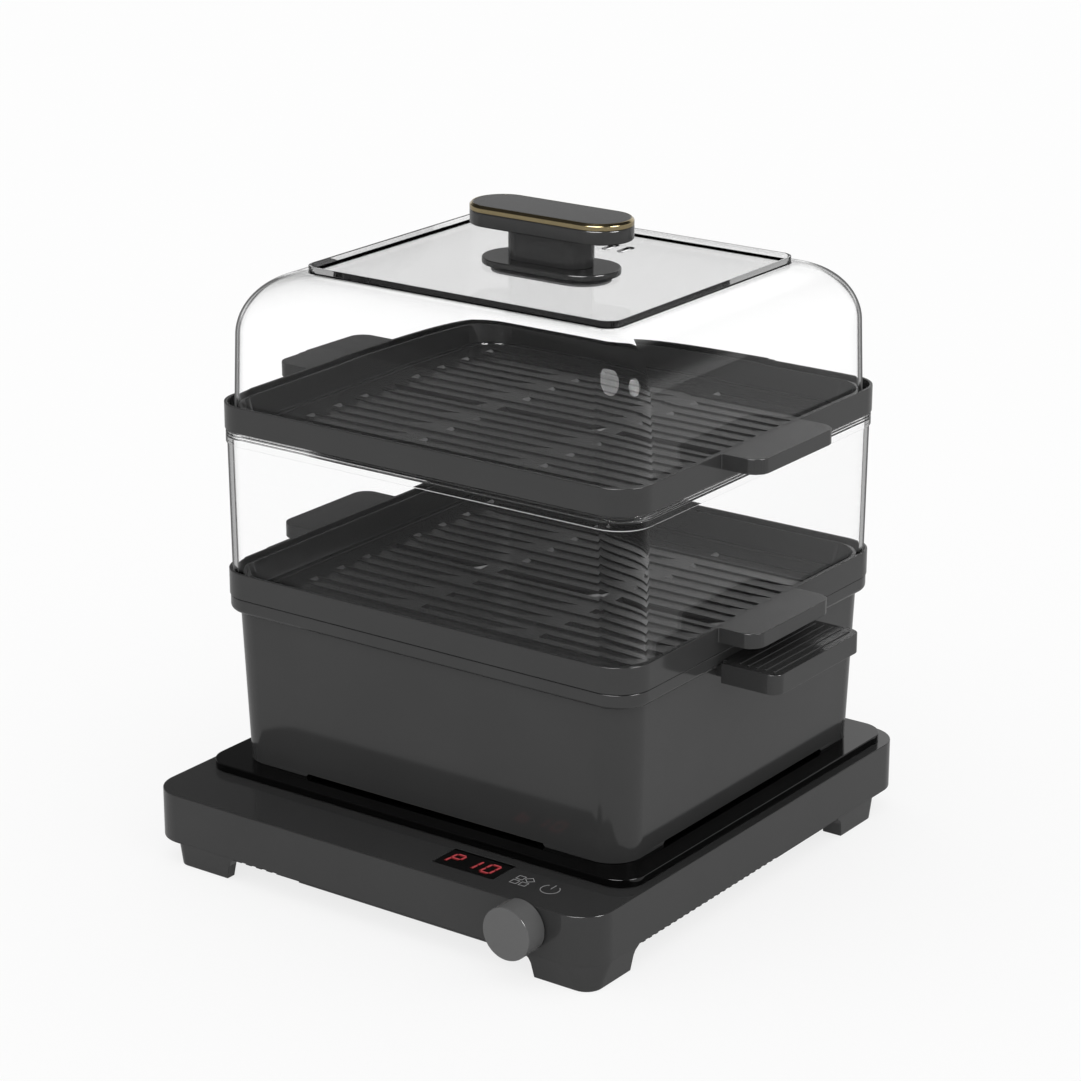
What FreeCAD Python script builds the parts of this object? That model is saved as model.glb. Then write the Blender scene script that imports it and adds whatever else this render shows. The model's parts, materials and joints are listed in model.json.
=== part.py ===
import FreeCAD, Part
import math
import os

V = FreeCAD.Vector
UP = V(0, 0, 1)

# Electric food steamer with an induction base, a square pot, two grill
# trays, a clear ring and a clear lid. Millimetres. +Z is up, the controls
# face -Y, and the origin lies under the middle of the bounding box, on the
# surface that the pads stand on.

# --- induction base ---
base_width = 320.0
base_depth = 333.4
base_corner = 20.5
housing_top = 44.0
housing_edge = 13.6
housing_wall = 2.5
cover_thick = 2.0
cover_gap = 0.3
apron_drop = 1.4
apron_left = 113.0
apron_right = 40.0
apron_inset = 1.2

# --- legs and pads ---
leg_span = 34.0
leg_front_arm = 7.5
leg_side_arm = 14.0
leg_slope = 6.0
leg_draft = 1.2
leg_corner = 10.0
leg_left_inset = 25.0
leg_right_inset = 0.3
leg_front_inset = 0.2
leg_back_inset = 30.5
pad_proud = 0.5
pad_thick = 1.5
pad_width = 4.5
pad_length = 22.0

# --- glass ---
glass_side_gap = 5.9
glass_front_gap = 43.4
glass_back_gap = 7.6
glass_thick = 4.6
glass_corner = 16.0
gasket_thick = 0.5
gasket_width = 5.0
gasket_inset = 1.8
ledge_width = 8.0

# --- display, touch marks and knob ---
display_width = 42.0
display_depth = 22.0
display_x = 61.4
display_from_front = 25.5
window_thick = 2.0
module_margin = 2.0
board_margin = 9.0
touch_row_from_front = 24.0
touch_x = (96.1, 115.2)
touch_radius = 4.0
control_board_thick = 1.6
control_stack = 8.0
control_post_radius = 2.5
knob_x = 113.7
knob_below_top = 13.2
knob_radius = 15.7
knob_reach = 15.8
knob_gap = 0.6
knob_socket_depth = 9.0
shaft_radius = 3.0
shaft_clearance = 0.05
bushing_radius = 4.5
bushing_clearance = 0.2
bushing_proud = 4.0
nut_across_flats = 11.0
nut_thick = 2.0
encoder_side = 12.4
encoder_depth = 6.5

# --- coil stack ---
coil_outer = 98.0
coil_inner = 30.0
coil_turns = 9
coil_thick = 4.0
coil_gap = 1.0
sheet_thick = 0.5
sheet_to_glass = 0.4
ferrite_count = 6
ferrite_length = 52.0
ferrite_width = 12.0
ferrite_thick = 3.5
former_margin = 6.0
former_thick = 2.0
former_hub = 14.0
coil_post_radius = 4.0
sensor_radius = 6.0
boot_wall = 3.0

# --- electronics ---
standoff_height = 4.0
standoff_radius = 3.5
board_thick = 1.6
main_board_width = 128.0
main_board_depth = 98.0
main_board_right_gap = 16.0
main_board_back_gap = 37.0
board_hole_inset = 6.0
heatsink_length = 56.0
heatsink_width = 40.0
heatsink_base = 2.5
fin_count = 9
fin_thick = 1.2
part_height = 10.0
part_gap = 4.0
relay_length = 18.0
relay_depth = 16.0
film_length = 14.0
film_depth = 14.0
drum_radius = 9.0
choke_radius = 10.0
choke_hole = 4.5
bridge_length = 22.0
bridge_depth = 5.0
fan_side = 80.0
fan_thick = 14.0
fan_wall = 2.0
fan_left_gap = 34.0
fan_back_gap = 57.0
fan_lift = 2.5
fan_hub_radius = 15.0
fan_blades = 7
blade_thick = 1.4
blade_twist = 35.0
fan_tip_gap = 1.2
fan_shaft_radius = 1.5
fan_screw_inset = 5.0
inlet_width = 27.0
inlet_height = 20.0
inlet_depth = 20.0
inlet_flange = 2.5
inlet_flange_thick = 1.2
inlet_from_right = 52.0
socket_inset = 2.4
socket_depth = 15.0
inlet_pin_pitch = 7.0
wire_radius = 1.2

# --- fasteners ---
screw_radius = 1.5
screw_head_radius = 2.8
screw_head_height = 1.6
boss_radius = 4.3
boss_side_inset = 9.2
boss_rows = (-0.36, 0.255, 0.466)
screw_length = 12.0

# --- vents ---
slot_width = 3.0
edge_slot_rise = 1.1
side_slot_pitch = 6.3
side_slot_count = 24
front_slot_pitch = 7.7
front_slot_count = 4
back_slot_pitch = 7.0
back_slot_count = 12
back_slot_height = 14.0
intake_slots = 9
intake_pitch = 7.6

# --- pot ---
pot_from_centre = 18.3
pot_foot_corner = 20.0
pot_draft = 3.3
pot_height = 104.7
pot_wall = 2.0
pot_floor = 2.5
foot_height = 2.1
foot_ring = 12.0
foot_notch_x = 87.0
foot_notch_y = 85.5
rim_height = 9.5
rim_step = 0.5
rim_proud_x = 4.5
rim_proud_y = 3.2
rim_round = 3.0
rim_round_steps = 4
rim_reveal = 0.5
disc_inset = 19.0
disc_clearance = 0.1
handle_reach = 40.6
handle_half = 45.7
handle_corner = 7.0
handle_top_drop = 4.9
handle_thick = 11.9
handle_ribs = 5
handle_rib_pitch = 5.7
handle_rib_width = 1.3
handle_rib_height = 0.6
handle_rib_margin = 6.0
handle_screw_spread = 26.0

# --- trays ---
tray_half_x = 148.0
tray_half_y = 134.15
tray_corner = 21.4
skirt_height = 15.7
lip_wall = 1.8
groove_depth = 9.0
groove_clearance = 0.4
groove_inner_corner = 22.8
pan_lip = 2.2
pan_draft = 2.6
pan_clearance = 0.8
pan_floor_drop = 0.9
pan_floor = 4.0
ear_reach = 25.2
ear_half = 41.3
ear_thick = 8.9
ear_corner = 10.0
ear_root = 6.0
ear_shift = -3.8
rib_pitch = 12.6
rib_rows = 8
rib_half_length = 120.5
break_at = 42.7
break_width = 12.0
valley_width = 7.0
valley_depth = 2.4
steam_slot_width = 3.0

# --- ring and lid ---
clear_wall = 2.8
ring_gain = 1.0
ring_height = 95.4
flange_height = 7.5
flange_reveal = 0.6
lid_wall_height = 47.3
lid_draft = 0.039
crown_in_x = 37.4
crown_in_y = 36.35
shoulder_up = 37.0
shoulder_steps = 6
lid_top_corner = 3.0
lid_rim_width = 3.0
lid_recess = 2.0
vent_width = 4.0
vent_length = 10.0
vent_pitch = 11.0
vent_from_middle = 60.4

# --- lid handle ---
plate_half = 43.2
plate_radius = 21.1
plate_thick = 3.8
stem_half = 27.0
stem_radius = 11.6
stem_height = 19.8
grip_half = 53.5
grip_radius = 19.3
grip_height = 8.8
trim_band = 2.2
trim_bevel = 1.4
trim_inset = 2.0
cap_thick = 2.4
lid_screw_spread = 15.0
lid_screw_radius = 2.0
lid_screw_head = 4.0
lid_screw_head_height = 2.4
seal_thick = 1.2
seal_margin = 4.0

# --- places worked out from the sizes above ---
half_x = base_width / 2
half_y = base_depth / 2
origin_shift = knob_reach / 2
glass_half_x = half_x - glass_side_gap
glass_front = -half_y + glass_front_gap
glass_back = half_y - glass_back_gap
glass_half_y = (glass_back - glass_front) / 2
glass_mid_y = (glass_back + glass_front) / 2
glass_bottom = housing_top + gasket_thick
glass_top = glass_bottom + glass_thick
cover_top = housing_edge + cover_thick
inner_top = housing_top - housing_wall
tier_y = pot_from_centre
pot_top = glass_top + pot_height
rim_bottom = pot_top - rim_height
rim_half_x = tray_half_x - rim_step
rim_half_y = tray_half_y - rim_step
rim_corner = tray_corner - rim_step
pot_foot_x = rim_half_x - rim_proud_x - pot_draft
pot_foot_y = rim_half_y - rim_proud_y - pot_draft
crown_half_x = tray_half_x - crown_in_x
crown_half_y = tray_half_y - crown_in_y
tray_seat = skirt_height - groove_depth
groove_width = clear_wall + 2 * groove_clearance
ring_bottom = pot_top + tray_seat
ring_top = ring_bottom + ring_height
clear_half_x = tray_half_x - lip_wall - groove_clearance
clear_half_y = tray_half_y - lip_wall - groove_clearance
clear_corner = tray_corner - lip_wall - groove_clearance
lid_bottom = ring_top + tray_seat
shoulder_base = lid_bottom + lid_wall_height
lid_top = shoulder_base + shoulder_up
panel_top = lid_top - lid_recess
panel_bottom = panel_top - clear_wall
plate_top = panel_top + plate_thick
grip_bottom = plate_top + stem_height
band_bottom = grip_bottom + grip_height
band_top = band_bottom + trim_band
grip_top = band_top + trim_bevel
knob_z = housing_top - knob_below_top
front_face = -half_y
front_inner = front_face + housing_wall


def move(shape, x=0.0, y=0.0, z=0.0):
    moved = shape.copy()
    moved.translate(V(x, y, z))
    return moved


def box(x0, x1, y0, y1, z0, z1):
    return Part.makeBox(x1 - x0, y1 - y0, z1 - z0, V(x0, y0, z0))


def rod(x, y, z0, z1, radius):
    return Part.makeCylinder(radius, z1 - z0, V(x, y, z0), UP)


def rod_y(x, z, y0, y1, radius):
    return Part.makeCylinder(radius, y1 - y0, V(x, y0, z), V(0, 1, 0))


def rod_x(y, z, x0, x1, radius):
    return Part.makeCylinder(radius, x1 - x0, V(x0, y, z), V(1, 0, 0))


def fuse_all(shapes):
    first = shapes[0]
    if len(shapes) == 1:
        return first
    return first.fuse(shapes[1:]).removeSplitter()


def round_wire(hx, hy, radius, z, x=0.0, y=0.0):
    # rounded rectangle: four sides and four quarter arcs
    a = hx - radius
    b = hy - radius
    d = radius * math.sqrt(0.5)
    corners = ((1, -1), (1, 1), (-1, 1), (-1, -1))
    edges = []
    for index, (sx, sy) in enumerate(corners):
        middle = V(x + sx * (a + d), y + sy * (b + d), z)
        flat = V(x + sx * hx, y + sy * b, z)
        steep = V(x + sx * a, y + sy * hy, z)
        start, end = (steep, flat) if index % 2 == 0 else (flat, steep)
        edges.append(Part.Arc(start, middle, end).toShape())
        nx, ny = corners[(index + 1) % 4]
        if index % 2 == 0:
            following = V(x + nx * hx, y + ny * b, z)
        else:
            following = V(x + nx * a, y + ny * hy, z)
        edges.append(Part.LineSegment(end, following).toShape())
    return Part.Wire(edges)


def round_prism(hx, hy, radius, z0, z1, x=0.0, y=0.0):
    face = Part.Face(round_wire(hx, hy, radius, z0, x, y))
    return face.extrude(V(0, 0, z1 - z0))


def round_loft(sections, x=0.0, y=0.0, ruled=True):
    # sections: (half x, half y, corner, z) from the bottom up
    wires = [round_wire(hx, hy, radius, z, x, y) for hx, hy, radius, z in sections]
    return Part.makeLoft(wires, True, ruled)


def stadium(half, radius, z0, z1, x=0.0, y=0.0):
    a = half - radius
    points = (V(x - a, y - radius, z0), V(x + a, y - radius, z0),
              V(x + a, y + radius, z0), V(x - a, y + radius, z0))
    edges = [Part.LineSegment(points[0], points[1]).toShape(),
             Part.Arc(points[1], V(x + half, y, z0), points[2]).toShape(),
             Part.LineSegment(points[2], points[3]).toShape(),
             Part.Arc(points[3], V(x - half, y, z0), points[0]).toShape()]
    return Part.Face(Part.Wire(edges)).extrude(V(0, 0, z1 - z0))


def mirror_x(shape):
    return shape.mirror(V(0, 0, 0), V(1, 0, 0))


def save(name, shape):
    placed = move(shape, y=origin_shift)
    placed.exportStep("parts/%s.step" % name)


# --- base: housing, cover, legs and pads ---
def boss_places():
    rows = [base_depth * share for share in boss_rows]
    x = half_x - boss_side_inset
    return [(side * x, row) for row in rows for side in (-1, 1)]


def edge_slots():
    # notches along the lower edge, near the front left and on both sides
    cuts = []
    reach = 2 * housing_wall
    top = housing_edge + edge_slot_rise
    for index in range(front_slot_count):
        x = -half_x + leg_left_inset + leg_span + 2 * leg_slope + index * front_slot_pitch
        cuts.append(box(x, x + slot_width, front_face - 1, front_face + reach, housing_edge - 1, top))
    start = -half_y + leg_span + leg_slope
    for index in range(side_slot_count):
        y = start + index * side_slot_pitch
        for side in (-1, 1):
            x0, x1 = sorted((side * (half_x + 1), side * (half_x - reach)))
            cuts.append(box(x0, x1, y, y + slot_width, housing_edge - 1, top))
    return cuts


def back_slots():
    middle = (housing_edge + housing_top) / 2
    fan_x = -half_x + fan_left_gap + fan_side / 2
    start = fan_x - back_slot_pitch * (back_slot_count - 1) / 2
    cuts = []
    for index in range(back_slot_count):
        x = start + index * back_slot_pitch
        cuts.append(box(x - slot_width / 2, x + slot_width / 2, half_y - 2 * housing_wall, half_y + 1,
                        middle - back_slot_height / 2, middle + back_slot_height / 2))
    return cuts


def control_post_places():
    left = display_x - display_width / 2 - board_margin
    right = touch_x[-1] + touch_radius + board_margin
    front = front_face + display_from_front - display_depth / 2
    back = front + display_depth
    return [(x, y) for x in (left, right) for y in (front + 1.5, back - 1.5)]


def inlet_place():
    return half_x - inlet_from_right, (housing_edge + housing_top) / 2


def upper_housing():
    shell = round_prism(half_x, half_y, base_corner, housing_edge, housing_top)
    hollow = round_prism(half_x - housing_wall, half_y - housing_wall,
                         base_corner - housing_wall, housing_edge - 1, inner_top)
    shell = shell.cut(hollow)
    adds = [rod(x, y, cover_top, inner_top, boss_radius) for x, y in boss_places()]
    adds += [rod(x, y, inner_top - control_stack, inner_top, control_post_radius)
             for x, y in control_post_places()]
    shell = fuse_all([shell] + adds)
    window_y = front_face + display_from_front
    cuts = [round_prism(glass_half_x - ledge_width, glass_half_y - ledge_width,
                        glass_corner - ledge_width + 2, inner_top - 1, housing_top + 1, 0, glass_mid_y),
            box(display_x - display_width / 2, display_x + display_width / 2,
                window_y - display_depth / 2, window_y + display_depth / 2, inner_top - 1, housing_top + 1),
            rod_y(knob_x, knob_z, front_face - 1, front_inner + 1, bushing_radius + bushing_clearance)]
    cuts += [rod(x, y, cover_top - 1, cover_top + screw_length, screw_radius) for x, y in boss_places()]
    x, z = inlet_place()
    cuts.append(box(x - inlet_width / 2, x + inlet_width / 2, half_y - 2 * housing_wall, half_y + 1,
                    z - inlet_height / 2, z + inlet_height / 2))
    cuts += edge_slots() + back_slots()
    return shell.cut(cuts)


def leg_wire(z, grow, draft):
    # L outline with its outer corner at the origin, arms along +X and +Y
    r = leg_corner
    d = r * (1 - math.sqrt(0.5))
    span = leg_span + grow
    points = (V(draft + r, draft, z), V(span, draft, z), V(span, leg_front_arm, z),
              V(leg_side_arm, leg_front_arm, z), V(leg_side_arm, span, z), V(draft, span, z),
              V(draft, draft + r, z))
    edges = [Part.LineSegment(points[i], points[i + 1]).toShape() for i in range(len(points) - 1)]
    edges.append(Part.Arc(points[-1], V(draft + d, draft + d, z), points[0]).toShape())
    return Part.Wire(edges)


def leg_corners():
    left = -half_x + leg_left_inset
    right = half_x - leg_right_inset
    front = -half_y + leg_front_inset
    back = half_y - leg_back_inset
    return [(left, front, 1, 1), (right, front, -1, 1), (left, back, 1, -1), (right, back, -1, -1)]


def mirrored(shape, flip_x, flip_y):
    if flip_x < 0:
        shape = shape.mirror(V(0, 0, 0), V(1, 0, 0))
    if flip_y < 0:
        shape = shape.mirror(V(0, 0, 0), V(0, 1, 0))
    return shape


def pad_slab(top):
    x0 = leg_corner
    y0 = leg_draft + (leg_front_arm - leg_draft - pad_width) / 2
    return box(x0, x0 + pad_length, y0, y0 + pad_width, 0, top)


def legs():
    leg = Part.makeLoft([leg_wire(pad_proud, 0, leg_draft), leg_wire(housing_edge, leg_slope, 0)], True, True)
    leg = leg.cut(pad_slab(pad_thick))
    return [move(mirrored(leg, fx, fy), x, y) for x, y, fx, fy in leg_corners()]


def foot_pads():
    pad = pad_slab(pad_thick)
    return Part.makeCompound([move(mirrored(pad, fx, fy), x, y) for x, y, fx, fy in leg_corners()])


def coil_post_places():
    reach = coil_outer + former_margin / 2 - coil_post_radius
    return [(reach, tier_y), (-reach, tier_y), (0, tier_y + reach), (0, tier_y - reach)]


def main_board_box():
    x1 = half_x - main_board_right_gap
    y1 = half_y - main_board_back_gap
    return x1 - main_board_width, x1, y1 - main_board_depth, y1


def board_hole_places():
    x0, x1, y0, y1 = main_board_box()
    inset = board_hole_inset
    return [(x, y) for x in (x0 + inset, x1 - inset) for y in (y0 + inset, y1 - inset)]


def fan_middle():
    return -half_x + fan_left_gap + fan_side / 2, half_y - fan_back_gap - fan_side / 2


def fan_hole_places():
    x, y = fan_middle()
    reach = fan_side / 2 - fan_screw_inset
    return [(x + sx * reach, y + sy * reach) for sx in (-1, 1) for sy in (-1, 1)]


def intake_cuts():
    x, y = fan_middle()
    start = x - intake_pitch * (intake_slots - 1) / 2
    reach = fan_side / 2 - fan_wall
    cuts = []
    for index in range(intake_slots):
        sx = start + index * intake_pitch
        half = math.sqrt(max(reach ** 2 - (sx - x) ** 2, slot_width ** 2))
        cuts.append(box(sx - slot_width / 2, sx + slot_width / 2, y - half, y + half,
                        housing_edge - apron_drop - 1, cover_top + 1))
    return cuts


def bottom_cover():
    inset = housing_wall + cover_gap
    plate = round_prism(half_x - inset, half_y - inset, base_corner - inset, housing_edge, cover_top)
    apron = box(-half_x + apron_left, half_x - apron_right, -half_y + apron_inset, half_y - inset,
                housing_edge - apron_drop, housing_edge)
    adds = legs() + [apron]
    adds += [rod(x, y, cover_top, coil_former_bottom(), coil_post_radius) for x, y in coil_post_places()]
    adds += [rod(x, y, cover_top, cover_top + standoff_height, standoff_radius) for x, y in board_hole_places()]
    adds += [rod(x, y, cover_top, cover_top + fan_lift, standoff_radius) for x, y in fan_hole_places()]
    cover = fuse_all([plate] + adds)
    cuts = [rod(x, y, housing_edge - apron_drop - 1, cover_top + 1, screw_radius + 0.2) for x, y in boss_places()]
    cuts += [rod(x, y, cover_top, cover_top + standoff_height + 1, screw_radius) for x, y in board_hole_places()]
    cuts += [rod(x, y, cover_top, cover_top + fan_lift + 1, screw_radius) for x, y in fan_hole_places()]
    return cover.cut(cuts + intake_cuts())


def screw(x, y, head_z, length, down=False):
    # round head outside head_z; the shank runs up, or down when down is set
    if down:
        head = rod(x, y, head_z, head_z + screw_head_height, screw_head_radius)
        return head.fuse(rod(x, y, head_z - length, head_z, screw_radius)).removeSplitter()
    head = rod(x, y, head_z - screw_head_height, head_z, screw_head_radius)
    return head.fuse(rod(x, y, head_z, head_z + length, screw_radius)).removeSplitter()


def housing_screws():
    return Part.makeCompound([screw(x, y, housing_edge, cover_thick + screw_length - 1) for x, y in boss_places()])


# --- base: glass, display and controls ---
def glass_plate():
    return round_prism(glass_half_x, glass_half_y, glass_corner, glass_bottom, glass_top, 0, glass_mid_y)


def glass_gasket():
    out = gasket_inset
    within = gasket_inset + gasket_width
    outer = round_prism(glass_half_x - out, glass_half_y - out, glass_corner - out,
                        housing_top, glass_bottom, 0, glass_mid_y)
    inner = round_prism(glass_half_x - within, glass_half_y - within, glass_corner - within,
                        housing_top - 1, glass_bottom + 1, 0, glass_mid_y)
    return outer.cut(inner)


def display_rect(margin, z0, z1):
    y = front_face + display_from_front
    return box(display_x - display_width / 2 + margin, display_x + display_width / 2 - margin,
               y - display_depth / 2 + margin, y + display_depth / 2 - margin, z0, z1)


def display_window():
    return display_rect(0.05, housing_top - window_thick, housing_top)


def control_board_top():
    return inner_top - control_stack


def display_module():
    return display_rect(module_margin, control_board_top(), housing_top - window_thick)


def control_board():
    places = control_post_places()
    xs = [x for x, y in places]
    ys = [y for x, y in places]
    edge = control_post_radius + 1
    front = max(min(ys) - edge, front_inner + encoder_depth + 1)
    top = control_board_top()
    board = box(min(xs) - edge, max(xs) + edge, front, max(ys) + edge, top - control_board_thick, top)
    return board.cut([rod(x, y, top - control_board_thick - 1, top + 1, 1.2) for x, y in places])


def touch_springs():
    y = front_face + touch_row_from_front
    top = control_board_top()
    return Part.makeCompound([rod(x, y, top, inner_top, touch_radius) for x in touch_x])


def encoder_body():
    half = encoder_side / 2
    body = box(knob_x - half, knob_x + half, front_inner, front_inner + encoder_depth, knob_z - half, knob_z + half)
    bushing = rod_y(knob_x, knob_z, front_face - bushing_proud, front_inner, bushing_radius)
    body = fuse_all([body, bushing])
    return body.cut(rod_y(knob_x, knob_z, front_face - bushing_proud - 1, front_inner + encoder_depth - 1.5,
                          shaft_radius + shaft_clearance))


def encoder_nut():
    radius = nut_across_flats / 2 / math.cos(math.pi / 6)
    points = []
    for index in range(7):
        angle = math.pi / 3 * index
        points.append(V(knob_x + radius * math.cos(angle), front_face, knob_z + radius * math.sin(angle)))
    nut = Part.Face(Part.makePolygon(points)).extrude(V(0, -nut_thick, 0))
    return nut.cut(rod_y(knob_x, knob_z, front_face - nut_thick - 1, front_face + 1, bushing_radius))


def knob():
    front = front_face - knob_reach
    back = front_face - knob_gap
    body = rod_y(knob_x, knob_z, front, back, knob_radius)
    socket_y = front + knob_reach - knob_socket_depth
    cuts = [rod_y(knob_x, knob_z, back - bushing_proud, back + 1, nut_across_flats / 2 + 3),
            rod_y(knob_x, knob_z, socket_y, back + 1, shaft_radius)]
    return body.cut(cuts)


def encoder_shaft():
    return rod_y(knob_x, knob_z, front_face - knob_socket_depth, front_inner + encoder_depth - 2.0, shaft_radius)


# --- base: coil stack ---
def sheet_top():
    return glass_bottom - sheet_to_glass


def coil_top():
    return sheet_top() - sheet_thick


def ferrite_top():
    return coil_top() - coil_thick


def coil_former_bottom():
    return ferrite_top() - ferrite_thick - former_thick


def insulation_sheet():
    disc = rod(0, tier_y, coil_top(), sheet_top(), coil_outer)
    return disc.cut(rod(0, tier_y, coil_top() - 1, sheet_top() + 1, sensor_radius + boot_wall + 2))


def induction_coil():
    pitch = (coil_outer - coil_inner) / coil_turns
    rings = []
    for index in range(coil_turns):
        inner = coil_inner + index * pitch
        outer = inner + pitch - coil_gap
        ring = rod(0, tier_y, ferrite_top(), coil_top(), outer)
        rings.append(ring.cut(rod(0, tier_y, ferrite_top() - 1, coil_top() + 1, inner)))
    link = box(coil_inner + pitch / 2, coil_outer - pitch / 2, tier_y - 2, tier_y + 2, ferrite_top(), coil_top())
    return fuse_all(rings + [link])


def ferrite_bars():
    bars = []
    start = (coil_inner + coil_outer - ferrite_length) / 2
    for index in range(ferrite_count):
        bar = box(start, start + ferrite_length, -ferrite_width / 2, ferrite_width / 2,
                  ferrite_top() - ferrite_thick, ferrite_top())
        bar.rotate(V(0, 0, 0), UP, 360.0 / ferrite_count * (index + 0.5))
        bars.append(move(bar, y=tier_y))
    return Part.makeCompound(bars)


def coil_former():
    z0 = coil_former_bottom()
    z1 = z0 + former_thick
    outer = coil_outer + former_margin
    plate = rod(0, tier_y, z0, z1, outer)
    rim = rod(0, tier_y, z1, ferrite_top(), outer).cut(rod(0, tier_y, z1 - 1, ferrite_top() + 1, coil_outer + 1))
    hub = rod(0, tier_y, z1, ferrite_top(), former_hub)
    former = fuse_all([plate, rim, hub])
    windows = []
    middle = (coil_inner + coil_outer) / 2
    for index in range(ferrite_count):
        hole = rod(middle, 0, z0 - 1, z1 + 1, (coil_outer - coil_inner) / 5)
        hole.rotate(V(0, 0, 0), UP, 360.0 / ferrite_count * index)
        windows.append(move(hole, y=tier_y))
    return former.cut(windows + [rod(0, tier_y, z0 - 1, ferrite_top() + 1, sensor_radius)])


def temperature_sensor():
    return rod(0, tier_y, coil_former_bottom(), glass_bottom, sensor_radius)


def sensor_boot():
    z0 = ferrite_top()
    z1 = glass_bottom - sheet_to_glass
    boot = rod(0, tier_y, z0, z1, sensor_radius + boot_wall)
    return boot.cut(rod(0, tier_y, z0 - 1, z1 + 1, sensor_radius))


# --- base: electronics ---
def main_board_top():
    return cover_top + standoff_height + board_thick


def main_board():
    x0, x1, y0, y1 = main_board_box()
    top = main_board_top()
    board = box(x0, x1, y0, y1, top - board_thick, top)
    return board.cut([rod(x, y, top - board_thick - 1, top + 1, screw_radius) for x, y in board_hole_places()])


def heatsink():
    x0, x1, y0, y1 = main_board_box()
    top = main_board_top()
    left = x0 + board_hole_inset * 2
    front = (y0 + y1 - heatsink_width) / 2
    parts = [box(left, left + heatsink_length, front, front + heatsink_width, top, top + heatsink_base)]
    pitch = (heatsink_width - fin_thick) / (fin_count - 1)
    for index in range(fin_count):
        y = front + index * pitch
        parts.append(box(left, left + heatsink_length, y, y + fin_thick, top + heatsink_base, top + part_height))
    return fuse_all(parts)


def board_components():
    # three rows beside the heat sink, counted from the board's front
    x0, x1, y0, y1 = main_board_box()
    top = main_board_top()
    left = x0 + board_hole_inset * 2 + heatsink_length + part_gap
    right = x1 - board_hole_inset * 2
    row = y0 + board_hole_inset * 2
    relay = box(left, left + relay_length, row, row + relay_depth, top, top + part_height)
    film = box(right - film_length, right, row, row + film_depth, top, top + part_height)
    row += relay_depth + part_gap + choke_radius
    drum = rod(left + drum_radius, row, top, top + part_height, drum_radius)
    core = rod(right - choke_radius, row, top, top + part_height, choke_radius)
    choke = core.cut(rod(right - choke_radius, row, top, top + part_height, choke_hole))
    row += choke_radius + part_gap
    bridge = box(left, left + bridge_length, row, row + bridge_depth, top, top + part_height)
    return Part.makeCompound([relay, film, drum, choke, bridge])


def board_screws():
    return Part.makeCompound([screw(x, y, main_board_top(), board_thick + standoff_height - 0.5, True)
                              for x, y in board_hole_places()])


def fan_bottom():
    return cover_top + fan_lift


def fan_frame():
    x, y = fan_middle()
    half = fan_side / 2
    z0 = fan_bottom()
    z1 = z0 + fan_thick
    frame = round_prism(half, half, fan_screw_inset, z0, z1, x, y)
    frame = frame.cut(rod(x, y, z0 + 1.5, z1 + 1, half - fan_wall))
    opening = rod(x, y, z0 - 1, z0 + 2, half - fan_wall)
    spokes = [rod(x, y, z0 - 1, z0 + 2, fan_hub_radius + 1)]
    for index in range(4):
        bar = box(0, half, -1.5, 1.5, z0 - 1, z0 + 2)
        bar.rotate(V(0, 0, 0), UP, 45 + 90 * index)
        spokes.append(move(bar, x, y))
    frame = frame.cut(opening.cut(spokes))
    post = rod(x, y, z0 + 1.5, z0 + 5, fan_shaft_radius + 2)
    frame = fuse_all([frame, post])
    bore = rod(x, y, z0 - 1, z0 + 6, fan_shaft_radius + shaft_clearance)
    holes = [rod(hx, hy, z0 - 1, z1 + 1, screw_radius) for hx, hy in fan_hole_places()]
    return frame.cut([bore] + holes)


def fan_impeller():
    x, y = fan_middle()
    z0 = fan_bottom() + 2.5
    z1 = fan_bottom() + fan_thick - 1
    tip = fan_side / 2 - fan_wall - fan_tip_gap
    hub = rod(x, y, z0, z1, fan_hub_radius).cut(rod(x, y, z0 - 1, z1 - 2, fan_hub_radius - 2))
    shaft = rod(x, y, fan_bottom() + 0.5, z1 - 1, fan_shaft_radius)
    parts = [hub, shaft]
    length = tip - fan_hub_radius + 1
    height = (z1 - z0) * 0.9
    for index in range(fan_blades):
        blade = box(0, length, -blade_thick / 2, blade_thick / 2, -height / 2, height / 2)
        blade.rotate(V(0, 0, 0), V(1, 0, 0), blade_twist)
        blade = move(blade, x=fan_hub_radius - 1)
        blade.rotate(V(0, 0, 0), UP, 360.0 / fan_blades * index)
        parts.append(move(blade, x, y, (z0 + z1) / 2))
    reach = tip
    bound = rod(x, y, z0, z1, reach)
    return fuse_all(parts).common(fuse_all([bound, shaft]))


def fan_screws():
    top = fan_bottom() + fan_thick
    return Part.makeCompound([screw(x, y, top, fan_thick + fan_lift - 0.5, True) for x, y in fan_hole_places()])


def power_inlet():
    x, z = inlet_place()
    y1 = half_y
    y0 = y1 - inlet_depth
    body = box(x - inlet_width / 2, x + inlet_width / 2, y0, y1, z - inlet_height / 2, z + inlet_height / 2)
    grow = inlet_flange
    inner = half_y - housing_wall
    flange = box(x - inlet_width / 2 - grow, x + inlet_width / 2 + grow, inner - inlet_flange_thick, inner,
                 z - inlet_height / 2 - 1, z + inlet_height / 2 + 1)
    body = fuse_all([body, flange])
    inset = socket_inset
    socket = box(x - inlet_width / 2 + inset, x + inlet_width / 2 - inset, y1 - socket_depth, y1 + 1,
                 z - inlet_height / 2 + inset, z + inlet_height / 2 - inset)
    return body.cut([socket] + inlet_pin_rods(0.0))


def inlet_pin_rods(grow):
    x, z = inlet_place()
    y0 = half_y - inlet_depth - 3
    places = ((-inlet_pin_pitch, -2.0), (0.0, 2.0), (inlet_pin_pitch, -2.0))
    return [rod_y(x + dx, z + dz, y0, half_y - 4, wire_radius + grow) for dx, dz in places]


def inlet_pins():
    return Part.makeCompound(inlet_pin_rods(0.0))


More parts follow.
